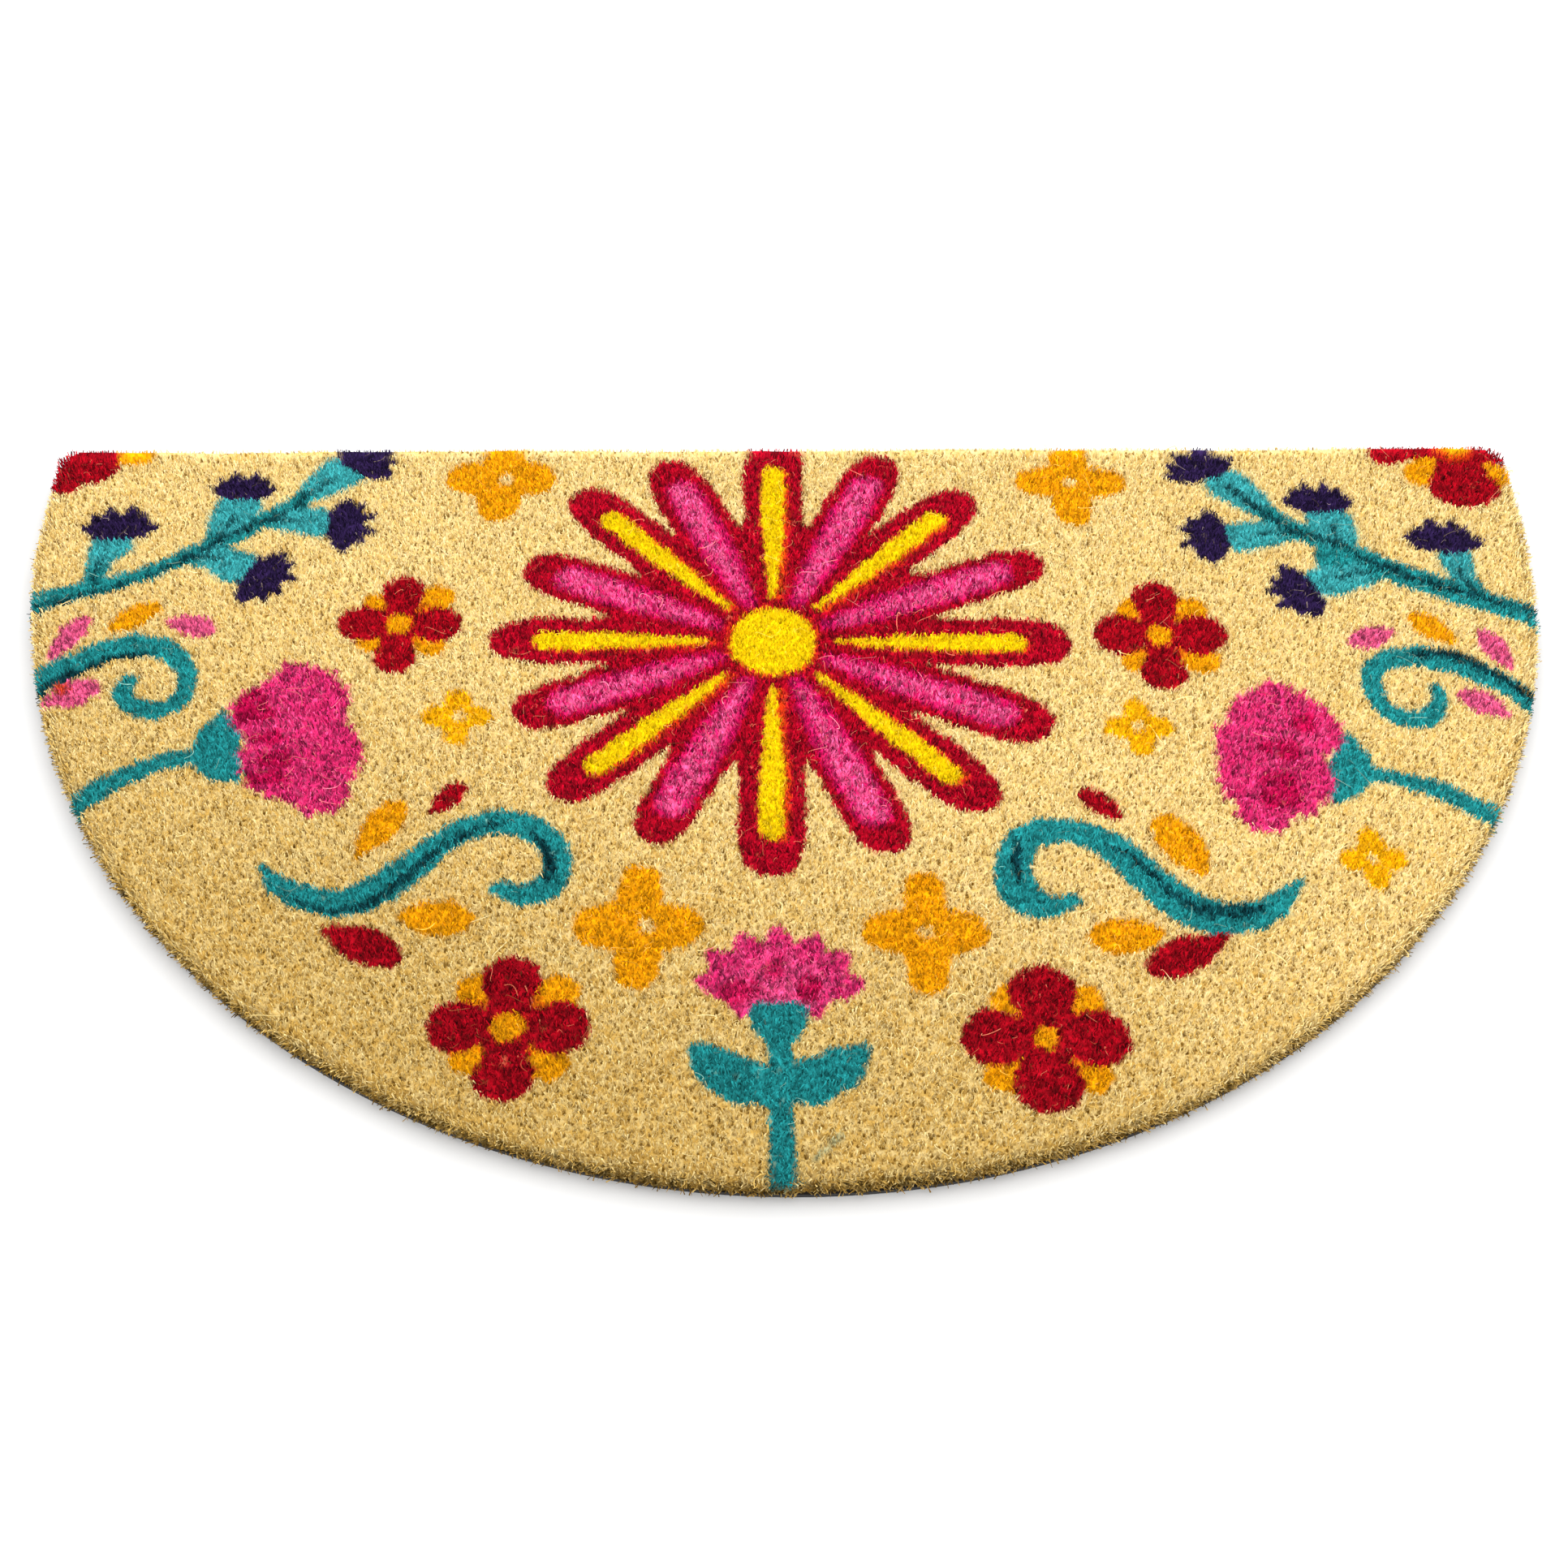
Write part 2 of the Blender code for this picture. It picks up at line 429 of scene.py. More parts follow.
def sprig_left():
    """A cornflower branch that runs in from the left rim."""
    stem = [(-388, 99), (-375, 106), (-360, 112), (-344, 118), (-332, 123), (-320, 129)]
    stem += [(-308, 137), (-300, 143), (-288, 151), (-280, 157), (-272, 165), (-264, 171)]
    stem += [(-256, 178), (-249, 186)]
    widths = (7.2, 6.4, 5.2, 4.8, 5.2, 6.0, 6.0, 5.6, 5.2)
    shade = [(-378, 101), (-360, 107.5), (-344, 115), (-330, 121), (-316, 129), (-304, 138)]
    shade += [(-295, 145), (-288, 152), (-280, 159), (-268, 168), (-256, 176), (-248, 184)]
    branches = (
        {"spine": [(-345, 122), (-345, 138), (-341, 150)], "half_widths": (5.0, 6.0, 10.5)},
        {"spine": [(-288, 153), (-283, 168), (-281, 179)], "half_widths": (6.0, 10.5, 11.5)},
        {"spine": [(-249, 186), (-239, 197), (-230, 207)], "half_widths": (4.5, 9.4, 12.0)},
        {"spine": [(-266, 168), (-252, 170), (-238, 168)], "half_widths": (5.0, 8.4, 10.0)},
        {"spine": [(-302, 142), (-287, 141), (-274, 134)], "half_widths": (6.0, 8.8, 10.6)},
    )
    strokes = stalks(stem, widths, branches, shade, (1.4, 1.6, 1.3, 1.8, 1.7, 1.6, 1.2))
    strokes += cornflower(-339, 160, 3)
    strokes += cornflower(-280, 190, 0, 0.86)
    strokes += cornflower(-222, 214, -40)
    strokes += cornflower(-227, 166, -86)
    strokes += cornflower(-264, 128, -114)
    return strokes


def sprig_right():
    """A cornflower branch that runs in from the right rim."""
    stem = [(390, 101), (366, 112), (350, 119), (330, 129), (312, 138), (300, 145)]
    stem += [(288, 154), (276, 163), (264, 170), (256, 177)]
    widths = (7.0, 7.0, 7.4, 8.0, 6.6, 5.4)
    shade = [(378, 111), (360, 117), (336, 128), (318, 136), (300, 146), (288, 155)]
    shade += [(280, 162), (266, 168), (256, 175), (248, 184), (240, 194), (233, 203)]
    branches = (
        {"spine": [(350, 121), (345, 137), (344, 149)], "half_widths": (5.5, 6.0, 8.6)},
        {"spine": [(288, 154), (285, 168), (283, 178)], "half_widths": (7.0, 10.8, 11.3)},
        {"spine": [(256, 178), (244, 192), (234, 204)], "half_widths": (4.0, 8.6, 11.6)},
        {"spine": [(266, 168), (250, 166.5), (237, 164)], "half_widths": (5.5, 8.8, 10.2)},
        {"spine": [(304, 141), (288, 136), (275, 131)], "half_widths": (6.5, 10.5, 10.0)},
    )
    strokes = stalks(stem, widths, branches, shade, (1.6, 2.0, 2.3, 2.0, 1.8, 1.8, 1.0))
    strokes.append(Stroke("teal", [(284, 150), (278, 149)], (7.0, 6.0)))
    strokes += cornflower(340, 160, -3)
    strokes += cornflower(279, 189, 0, 0.94)
    strokes += cornflower(221, 214, 24)
    strokes += cornflower(223, 164, 92)
    strokes += cornflower(264, 125, 112)
    return strokes


def curl_left():
    """A scroll from the left rim that rolls up, with four seeds round it."""
    spine = [(-370, 40), (-356, 57), (-343, 66), (-330, 74), (-318, 77.5), (-305, 76), (-294, 69)]
    spine += [(-287.5, 57), (-288, 45), (-293, 37), (-302, 34), (-312, 38), (-317, 46), (-316, 54)]
    shade = [(-359, 44), (-348, 55), (-338, 61), (-328, 68), (-318, 71), (-306, 73)]
    return [
        Stroke("teal", spine, (6.6, 6.6, 6.6, 7.0, 7.6, 6.8, 5.6, 4.4, 4.6, 5.2, 5.7, 5.2, 4.8, 4.0)),
        Stroke("deep_teal", shade, (2.0, 2.7, 2.2, 1.7, 1.6, 0.8), 1.4, 1.0, 0.95),
        drop("blush", (-358, 66), (-344, 97), 12.5),
        drop("orange", (-333, 87), (-310, 107), 14.5),
        drop("blush", (-304, 96), (-279, 88), 14.5),
        drop("blush", (-355, 37), (-329, 51), 17),
        Stroke("flame", [(-347, 48)], (3.4,), 2.5, 0.9, 0.8),
    ]


def curl_right():
    """A scroll from the right rim that rolls up, with four seeds round it."""
    spine = [(372, 38), (362, 50), (352, 60), (340, 69), (326, 76), (312, 78), (300, 77), (291, 70)]
    spine += [(288, 58), (290, 46), (297, 38), (307, 35.5), (316, 41), (319, 50), (318, 57)]
    widths = (6.0, 6.0, 6.2, 6.8, 7.6, 6.8, 6.0, 5.2, 4.7, 4.8, 5.4, 5.6, 5.0, 3.8, 2.8)
    shade = [(312, 80), (330, 80), (345, 70), (357, 59), (366, 50)]
    return [
        Stroke("teal", spine, widths),
        Stroke("deep_teal", shade, (1.6, 3.2, 2.6, 2.2, 2.0), 1.6, 1.0, 0.95),
        drop("blush", (358.5, 70), (348, 97), 13),
        drop("orange", (334, 87), (314.5, 108.5), 14.5),
        drop("blush", (304.5, 96), (281, 88), 14.5),
        drop("blush", (352, 38), (330, 55), 14.5),
    ]


def thistle_head(blobs, patches):
    """A pink head of round patches with a jagged edge, and stronger spots near its base."""
    strokes = []
    for x, y, radius in blobs:
        strokes.append(Stroke("rose", [(x, y)], (radius - 1.0,)))
        count = round(radius * 1.15)
        for spike in range(count):
            angle = 2 * math.pi * spike / count + radius
            tip = radius + (1.0, 2.6, 0.4, 1.9)[spike % 4]
            root = 0.75 * radius
            line = [(x + r * math.cos(angle), y + r * math.sin(angle)) for r in (root, tip)]
            strokes.append(Stroke("rose", line, (3.6, 0.4)))
    for x, y, radius in blobs:
        strokes.append(Stroke("pink", [(x, y)], (radius + 1.5,), 1.5, 0.6, 0.13))
    for x, y, length, width in patches:
        half = (length - width) / 2
        line = [(x - half, y - 0.5), (x + half, y + 0.5)]
        strokes.append(Stroke("ruby", line, (width / 2, width / 2), 1.2, 0.95, 0.92))
    return strokes


def thistle_left():
    """A thistle on its side, whose stem comes from the left rim."""
    blobs = ((-235.5, 56, 10), (-231, 40, 23.5), (-245, 34, 18), (-226, 5, 28), (-214, -17, 13.5))
    patches = ((-255, 41, 15, 13), (-252, 32, 19, 10), (-244, 17, 14, 7), (-238, 3, 17, 11))
    patches += ((-241, -8.5, 19, 8),)
    stem = [(-274, 5), (-290, 1), (-303, -6), (-317, -16), (-332, -33)]
    calyx = [(-267, 34), (-267, 19), (-266, 5), (-260, -4), (-254, -10)]
    strokes = [
        Stroke("teal", stem, (5.4, 4.8, 5.2, 5.8, 6.4)),
        Stroke("teal", calyx, (0.8, 9.4, 11.6, 7.4, 1.6)),
    ]
    return strokes + thistle_head(blobs, patches)


def thistle_right():
    """A thistle on its side, whose stem comes from the right rim."""
    blobs = ((239, 47, 12), (239, 33, 23.5), (251, 28, 17.5), (229, 18, 22), (233, -1, 27))
    blobs += ((226, -23, 13),)
    patches = ((251, 33, 12, 12), (237, 17, 20, 8), (242, 12, 10, 8), (234, -4, 17, 8))
    patches += ((235, -15, 20, 13),)
    stem = [(276, 1), (290, -2.5), (301, -6.5), (313, -12.5), (336, -28)]
    calyx = [(271, 27), (271, 15), (270, 3), (264, -9), (259, -17)]
    strokes = [
        Stroke("teal", stem, (4.8, 4.0, 4.6, 5.2, 5.8)),
        Stroke("teal", calyx, (0.8, 6.8, 11.2, 7.0, 1.4)),
    ]
    return strokes + thistle_head(blobs, patches)


def scroll_left():
    """The long wave of the left half."""
    spine = [(-126, -74.5), (-117.5, -78.2), (-109, -76), (-103, -69.5), (-101, -59.5), (-103, -50)]
    spine += [(-109.5, -42.5), (-118.5, -37), (-129, -34.8), (-139, -37), (-150.5, -43.5)]
    spine += [(-161, -54.5), (-170, -65.5), (-182, -77), (-194, -83), (-206, -83), (-217, -79)]
    spine += [(-228, -72.5), (-236, -62)]
    widths = (5.0, 5.8, 7.0, 6.8, 6.7, 6.5, 7.1, 7.3, 7.2, 6.8, 7.0, 7.6, 8.2, 9.0, 8.0, 7.0, 6.5, 4.8, 0.8)
    curl = [(-114, -42), (-107, -51), (-105, -60), (-105.5, -68)]
    wave = [(-218, -83), (-206, -87.5), (-195, -88), (-185, -84), (-177, -77), (-169, -68)]
    wave += [(-161, -58), (-153, -49.5), (-143, -41.5), (-133.5, -36.5), (-124, -34)]
    return [
        Stroke("teal", spine, widths),
        Stroke("deep_teal", curl, (0.6, 1.8, 2.2, 2.4), 1.4, 1.0, 0.95),
        Stroke("deep_teal", wave, (0.8, 1.5, 2.0, 2.2, 1.7, 1.2, 0.5), 1.4, 0.95, 0.9),
    ]


def scroll_right():
    """The long wave of the right half."""
    spine = [(132, -78.5), (124, -82), (115, -81), (108, -73), (106.5, -60), (109, -48), (116, -40)]
    spine += [(126, -37), (138, -38.5), (150, -44.5), (160, -55), (169, -67), (179, -78), (190, -86)]
    spine += [(202, -88), (213, -86.5), (223, -81), (231, -73), (238, -64)]
    widths = (3.8, 5.2, 8.2, 9.0, 8.4, 8.0, 7.8, 6.8, 7.0, 7.6, 8.4, 9.0, 9.6, 9.4, 9.0, 7.8, 6.3, 3.8, 0.8)
    curl = [(110, -46), (107.7, -56), (108.5, -67)]
    wave = [(150, -46), (160, -52), (168, -60), (174.5, -69.5), (182, -77.5), (191, -83.5)]
    wave += [(202, -85), (211, -84), (219, -81.5)]
    return [
        Stroke("teal", spine, widths),
        Stroke("deep_teal", curl, (1.2, 2.4, 1.4), 1.4, 1.0, 0.95),
        Stroke("deep_teal", wave, (0.7, 1.3, 1.6, 1.9, 2.6, 3.6, 4.2, 3.6, 0.8), 1.6, 0.95, 0.88),
    ]


def scroll_seeds():
    """The seeds above and below both waves."""
    return [
        drop("garnet", (-162.5, -30.5), (-147.5, -11.5), 11.5),
        drop("orange", (-193, -56.5), (-176, -22), 17.5),
        drop("orange", (-170.5, -91), (-136.5, -93), 20.5),
        drop("garnet", (-203.5, -98.5), (-166.5, -116), 19.5),
        drop("garnet", (159, -29.5), (140, -11.5), 12.5),
        drop("orange", (194.5, -64), (176, -27.5), 20.5),
        drop("orange", (172.5, -96.5), (137.5, -101), 20.5),
        drop("garnet", (200, -98.5), (162, -119), 20),
    ]


def thistle_upright():
    """The thistle at the front of the mat, on a stem with two leaves."""
    strokes = [
        Stroke("teal", [(1, -160), (1, -190), (2, -228)], (4.2, 5.0, 5.4)),
        Stroke("teal", [(0, -144), (0, -150), (0, -158), (0, -168)], (13.2, 10.5, 5.5, 4.0)),
        Stroke("rose", [(-13, -132), (0, -126), (13, -132)], (11.0, 17.0, 11.0)),
    ]
    tips = ((-36, -126), (-31, -111), (-18, -100), (-1, -95.5), (17, -100.5), (31, -111), (37, -126))
    for across, up in tips:
        root = (across * 0.3, -130)
        bend = (across * 0.74, -130 + (up + 130) * 0.68)
        strokes.append(Stroke("rose", [root, bend, (across, up)], (10.0, 7.4, 1.2)))
    for side in (-1, 1):
        strokes.append(Stroke("rose", [(side * 8, -134), (side * 17, -144)], (7.0, 1.5)))
    for stroke in strokes[2:]:
        strokes.append(stroke._replace(ink="pink", strength=0.5, share=0.3))
    strokes.append(Stroke("ruby", [(-20, -132), (-15, -130)], (6.0, 6.6), 1.8, 0.9, 0.85))
    strokes.append(Stroke("ruby", [(12, -131), (14, -128)], (5.4, 5.0), 1.6, 0.95, 0.9))
    strokes.append(Stroke("ruby", [(-3, -120), (-1, -115)], (4.6, 3.2), 2.0, 0.8, 0.8))
    strokes.append(Stroke("teal", [(0, -146), (-8, -142)], (9.0, 4.4)))
    strokes.append(Stroke("teal", [(0, -146), (8, -142)], (9.0, 4.4)))
    for side in (-1, 1):
        leaf = [(side * 2, -183), (side * 15, -179), (side * 26, -172.5), (side * 36, -162)]
        strokes.append(Stroke("teal", leaf, (8.2, 11.8, 10.8, 3.2)))
    strokes.append(Stroke("teal", [(15, -219), (27, -205)], (1.0, 0.6), 2.5, 0.45))
    return strokes


def whole_print():
    """All strokes of the stencil, the lowest first, in the print's own millimetres."""
    strokes = placed(large_flower(), -4, 85)
    for flower in ROUND_FLOWERS:
        strokes += round_flower(flower)
    strokes += corner_left() + corner_right()
    for ink, middle, sizes in OPEN_FLOWERS:
        strokes += placed(open_flower(ink, *sizes), *middle)
    strokes += sprig_left() + sprig_right() + curl_left() + curl_right()
    strokes += thistle_left() + thistle_right()
    strokes += scroll_left() + scroll_right() + scroll_seeds()
    strokes += thistle_upright()
    return strokes


def smooth_spine(points):
    """A smooth line through points (Catmull-Rom)."""
    points = np.array(points, float)
    if len(points) < 3:
        return points
    padded = np.vstack((2 * points[0] - points[1], points, 2 * points[-1] - points[-2]))
    line = []
    for before, start, end, after in zip(padded, padded[1:], padded[2:], padded[3:]):
        for step in range(SPINE_STEPS):
            t = step / SPINE_STEPS
            bend = (2 * before - 5 * start + 4 * end - after) * t * t
            bend = bend + (3 * start - before - 3 * end + after) * t**3
            line.append(0.5 * (2 * start + (end - before) * t + bend))
    line.append(points[-1])
    return np.array(line)


def depth_in_stroke(x, y, spine, half_widths):
    """How far each point lies inside a stroke, in millimetres, and less than 0 outside."""
    if len(spine) == 1:
        return half_widths[0] - np.hypot(x - spine[0][0], y - spine[0][1])
    along = np.linspace(0, 1, len(spine))
    widths = np.interp(along, np.linspace(0, 1, len(half_widths)), half_widths)
    depth = np.full(len(x), -1e9)
    for start, end, wide, wide_end in zip(spine, spine[1:], widths, widths[1:]):
        run = end - start
        size = run @ run
        share_along = np.clip(((x - start[0]) * run[0] + (y - start[1]) * run[1]) / size, 0, 1)
        away = np.hypot(x - start[0] - share_along * run[0], y - start[1] - share_along * run[1])
        depth = np.maximum(depth, wide + share_along * (wide_end - wide) - away)
    return depth


# Room round a stroke for its uneven edge, in millimetres
EDGE_ROOM = 1.5
# Each stroke moves a fibre's luck on, so that two strokes leave out different fibres
LUCK_STEP = 0.618
# At an edge, the luck times this, less its whole part, is a second draw
EDGE_LUCK = 7.3
# It moves the edge in or out, over this share of the stroke's softness
EDGE_SCATTER = 0.7


def printed(x, y, luck, colours):
    """The ink's colour and its cover, from 0 to 1, at points of the mat in metres.

    The luck of a point, from 0 to 1, says which inks its fibre takes at a soft or thin stroke.
    """
    x = x / MM - PRINT_SHIFT
    y = y / MM - PRINT_RISE
    cosine = math.cos(PRINT_TURN)
    sine = math.sin(PRINT_TURN)
    x, y = cosine * x + sine * y, cosine * y - sine * x
    waver = np.zeros(len(x))
    for wave in EDGE_WAVES:
        angle = math.radians(wave["angle"])
        phase = (x * math.cos(angle) + y * math.sin(angle)) * 2 * math.pi / wave["length"]
        waver += wave["height"] * np.sin(phase + wave["angle"])
    ink = np.zeros((len(x), 3))
    cover = np.zeros(len(x))
    for number, stroke in enumerate(whole_print()):
        spine = smooth_spine(stroke.spine)
        reach = max(stroke.half_widths) + stroke.softness + EDGE_ROOM
        low = spine.min(axis=0) - reach
        high = spine.max(axis=0) + reach
        near = np.flatnonzero((x > low[0]) & (x < high[0]) & (y > low[1]) & (y < high[1]))
        depth = depth_in_stroke(x[near], y[near], spine, stroke.half_widths)
        depth += waver[near] + PRINT_SWELL
        draw = (luck[near] + LUCK_STEP * number) % 1
        edge = depth / stroke.softness + 0.5 + EDGE_SCATTER * (draw * EDGE_LUCK % 1 - 0.5)
        laid = np.clip(edge, 0, 1) * stroke.strength * (draw < stroke.share)
        bare = 1 - laid
        ink[near] *= bare[:, None]
        cover[near] *= bare
        if stroke.ink != BARE:
            ink[near] += np.array(getattr(colours, stroke.ink)) * laid[:, None]
            cover[near] += laid
    return ink / np.maximum(cover, 1e-6)[:, None], cover


# Inks reach down the fibres from their tips, and thin out between these heights
INK_FADES_FROM = 0.0090
INK_ENDS_AT = 0.0050
# A few fibres took a little less ink
UNINKED_SHARE = 0.01
UNINKED_COVER = 0.85
# How far a fibre's tip has moved since it was printed
TIP_SHIFT = 0.0003
# A lock has two points at its root and two at its tip; a loose fibre is a three-sided tube
LOCK_POINTS = 4
LOCK_TIP_POINTS = 2
STRAY_SIDES = 3
STRAY_STEPS = 6
STRAY_POINTS = STRAY_SIDES * (STRAY_STEPS + 1)


def places_of(mesh):
    """The places of a mesh's points, one row each."""
    places = np.empty(len(mesh.vertices) * 3)
    mesh.vertices.foreach_get("co", places)
    return places.reshape(-1, 3)


def store(mesh, name, kind, values):
    """Keep a value or a colour for each point of a mesh, as an attribute."""
    attribute = mesh.attributes.new(name, kind, "POINT")
    channel = "color" if kind == "FLOAT_COLOR" else "value"
    attribute.data.foreach_set(channel, values.astype(np.float32).ravel())


def ink_mesh(mesh, colours, group, seed, bleach_and_shade, cover_limit=1.0, tip_points=0):
    """Store how a mesh is bleached and shaded, and printed, on its points.

    Each group of points is one fibre, which has moved a little since it was printed. The alpha
    of the colour attribute ink is the ink's cover. Where tip_points is given, the whole fibre
    has the ink that its last points have.
    """
    chance = np.random.default_rng(seed)
    count = len(mesh.vertices)
    if count % group:
        raise RuntimeError(f"{mesh.name}: {count} points don't make fibres of {group}")
    fibres = count // group
    places = places_of(mesh)
    moved = np.repeat(chance.normal(0, TIP_SHIFT, (fibres, 2)), group, axis=0)
    luck = np.repeat(chance.random(fibres), group)
    spots = places[:, :2]
    if tip_points:
        tips = places.reshape(fibres, group, 3)[:, -tip_points:, :2].mean(axis=1)
        spots = np.repeat(tips, group, axis=0)
    ink, cover = printed(*(spots + moved).T, luck, colours)
    taken = np.ones(fibres)
    taken[chance.random(fibres) < UNINKED_SHARE] = UNINKED_COVER
    cover *= np.repeat(taken, group) * cover_limit
    cover *= np.clip((places[:, 2] - INK_ENDS_AT) / (INK_FADES_FROM - INK_ENDS_AT), 0, 1)
    store(mesh, "ink", "FLOAT_COLOR", np.column_stack((ink, cover)))
    store(mesh, "tint", "FLOAT", np.repeat(chance.random(fibres), group))
    store(mesh, "bleach_and_shade", "FLOAT", np.tile(bleach_and_shade, count // len(bleach_and_shade)))


# Materials

# The sizes of the patterns, in metres
TUFT_WANDER = 0.0025
WANDER_REACH = 0.0014
BALE_SIZE = 0.045
MOTTLE_SIZE = 0.0012
HOLE_SIZE = 0.0045
RIDGE_SIZE = 0.0004
RIDGE_DEPTH = 0.0001
PEBBLE_SIZE = 0.0012
PEBBLE_DEPTH = 0.0002
DUST_SIZE = 0.030

# Distances from the middle of a cell of the tuft pattern where its pit starts, and where it is full
PIT_FROM = 0.36
PIT_TO = 0.12
# Painted light falloff: the coir is painted paler along this direction, towards the back right, over this
# reach
LIGHT_FALLOFF_AXIS = (0.35, 0.85, 0.0)
FALLOFF_FROM = -0.24
FALLOFF_TO = 0.06
# How far the painted light falloff and the bale push a fibre towards cream, what is taken off the sum, and
# where straw lies
FALLOFF_PALER = 0.34
BALE_PALER = 0.16
PALENESS_FLOOR = 0.41
STRAW_AT = 0.38
# Fibres are lit as if their normals were lifted by this much
LIT_THROUGH = 1.0
BOARD_WHITE = "#c6c6c6"


def new_material(name):
    """A new material, with its node tree and its shader."""
    material = bpy.data.materials.new(name)
    material.use_nodes = True
    return material, material.node_tree, material.node_tree.nodes["Principled BSDF"]


def tuft_field(tree, place, size):
    """Nodes that split the pile into tufts: a random heading for each, and the gaps among them."""
    add = partial(add_node, tree)
    wander = add("ShaderNodeTexNoise", {"Vector": place, "Scale": 1 / TUFT_WANDER, "Detail": 1.0})
    shifted = add(
        "ShaderNodeVectorMath",
        {0: wander.outputs["Color"], 1: (WANDER_REACH, WANDER_REACH, 0.0), 2: place},
        operation="MULTIPLY_ADD",
    )
    scale = add("ShaderNodeMath", {0: 1.0, 1: size}, operation="DIVIDE")
    cells = add("ShaderNodeTexVoronoi", {"Vector": shifted, "Scale": scale}, voronoi_dimensions="2D")
    heading = add(
        "ShaderNodeVectorMath",
        {0: cells.outputs["Color"], 1: (2.0, 2.0, 0.0), 2: (-1.0, -1.0, 0.0)},
        operation="MULTIPLY_ADD",
    )
    hole = add(
        "ShaderNodeMapRange",
        {"Value": cells.outputs["Distance"], "From Min": PIT_FROM, "From Max": PIT_TO},
        interpolation_type="SMOOTHSTEP",
    )
    chance = add("ShaderNodeSeparateXYZ", {0: cells.outputs["Color"]}).outputs["Z"]
    depth = add("ShaderNodeMapRange", {"Value": chance, "To Min": 0.25, "To Max": 1.0})
    gap = add("ShaderNodeMath", {0: hole, 1: depth}, operation="MULTIPLY")
    return heading.outputs[0], gap.outputs[0]


def coir_material(colours, tuft_size):
    """Bleached coconut fibre, sheared level and stencilled.

    The fibres are coarse and dull, cream to golden, with a faint waxy sheen along them. Ink
    takes on the tips, and the roots stay husk brown. Every gap in the pile is painted as a warm
    dark fleck: partly the roots' husk colour, partly painted shade.
    """
    material, tree, shader = new_material("bleached_coir_stencilled")
    add = partial(add_node, tree)
    place = add("ShaderNodeTexCoord").outputs["Object"]
    height = add("ShaderNodeSeparateXYZ", {0: place}).outputs["Z"]
    tint = add("ShaderNodeAttribute", attribute_name="tint").outputs["Fac"]
    bleach_and_shade = add("ShaderNodeAttribute", attribute_name="bleach_and_shade").outputs["Fac"]
    ink = add("ShaderNodeAttribute", attribute_name="ink")
    # Bales of fibre differ a little, over patches about 45 mm wide. Fibres are mottled along their
    # length, about 1.2 mm from light to dark. The wall of the rim is painted dark, as painted shade, in
    # holes about 4.5 mm apart. The ridges along a fibre are drawn about 0.4 mm apart, coarser than real
    # ones, so that they show.
    bale, mottle, holes, ridges = (
        add("ShaderNodeTexNoise", {"Vector": place, "Scale": 1 / size, "Detail": 2.0})
        for size in (BALE_SIZE, MOTTLE_SIZE, HOLE_SIZE, RIDGE_SIZE)
    )
    # Painted light falloff: the coir is painted less pale towards the mat's near left, as if less light fell
    # there
    falloff_reach = add("ShaderNodeVectorMath", {0: place, 1: LIGHT_FALLOFF_AXIS}, operation="DOT_PRODUCT")
    far = add(
        "ShaderNodeMapRange",
        {"Value": falloff_reach.outputs["Value"], "From Min": FALLOFF_FROM, "From Max": FALLOFF_TO},
        interpolation_type="SMOOTHSTEP",
    )
    paler = add("ShaderNodeMath", {0: far, 1: FALLOFF_PALER, 2: tint}, operation="MULTIPLY_ADD")
    paler = add("ShaderNodeMath", {0: bale, 1: BALE_PALER, 2: paler}, operation="MULTIPLY_ADD")
    paler = add("ShaderNodeMath", {0: paler, 1: PALENESS_FLOOR}, operation="SUBTRACT")
    ramp = add("ShaderNodeValToRGB", {"Fac": paler})
    stops = ramp.color_ramp.elements
    stops[0].color = (*colours.golden, 1)
    stops[1].color = (*colours.cream, 1)
    stops.new(STRAW_AT).color = (*colours.straw, 1)
    # Husk colour and painted shade: the gaps among the tufts are painted brown, more the deeper a point lies
    # under the tips
    _, gap = tuft_field(tree, place, tuft_size)
    depth = add("ShaderNodeMapRange", {"Value": height, "From Min": 0.0165, "From Max": 0.0150})
    husk_and_pit_shade = add("ShaderNodeMath", {0: gap, 1: depth}, operation="MULTIPLY")
    pit_free = add("ShaderNodeMath", {0: 1.0, 1: husk_and_pit_shade}, operation="SUBTRACT")
    # The wall of the rim is painted darker towards the floor: partly less bleached coir, partly painted
    # shade
    wall = add(
        "ShaderNodeMapRange",
        {"Value": height, "From Min": 0.003, "From Max": 0.012, "To Min": 0.42, "To Max": 1.0},
    )
    # The bleach attribute also carries the painted shade of the roots and the bed
    pale = bleach_and_shade
    for factor in (pit_free, wall):
        pale = add("ShaderNodeMath", {0: pale, 1: factor}, operation="MULTIPLY")
    husk = (*colours.husk, 1)
    natural = add("ShaderNodeMix", {0: pale, 6: husk, 7: ramp}, data_type="RGBA")
    inked = add(
        "ShaderNodeMix",
        {0: ink.outputs["Alpha"], 6: natural.outputs[2], 7: ink.outputs["Color"]},
        data_type="RGBA",
    )
    tone = add(
        "ShaderNodeMapRange",
        {"Value": mottle, "From Min": 0.25, "From Max": 0.75, "To Min": 0.76, "To Max": 1.14},
    )
    # The painted light falloff makes the near left darker as well as more golden
    painted_light_tone = add("ShaderNodeMapRange", {"Value": far, "To Min": 0.80, "To Max": 1.0})
    # Ink takes better on some fibres than on others, which shows most in the dark inks
    green = add("ShaderNodeSeparateColor", {0: ink.outputs["Color"]}).outputs["Green"]
    spread = add("ShaderNodeMapRange", {"Value": green, "From Max": 0.6, "To Min": 0.88, "To Max": 0.27})
    taken = add("ShaderNodeMapRange", {"Value": tint, "To Min": -1.0, "To Max": 1.0})
    swing = add("ShaderNodeMath", {0: taken, 1: spread}, operation="MULTIPLY")
    vary = add("ShaderNodeMath", {0: swing, 1: ink.outputs["Alpha"], 2: 1.0}, operation="MULTIPLY_ADD")
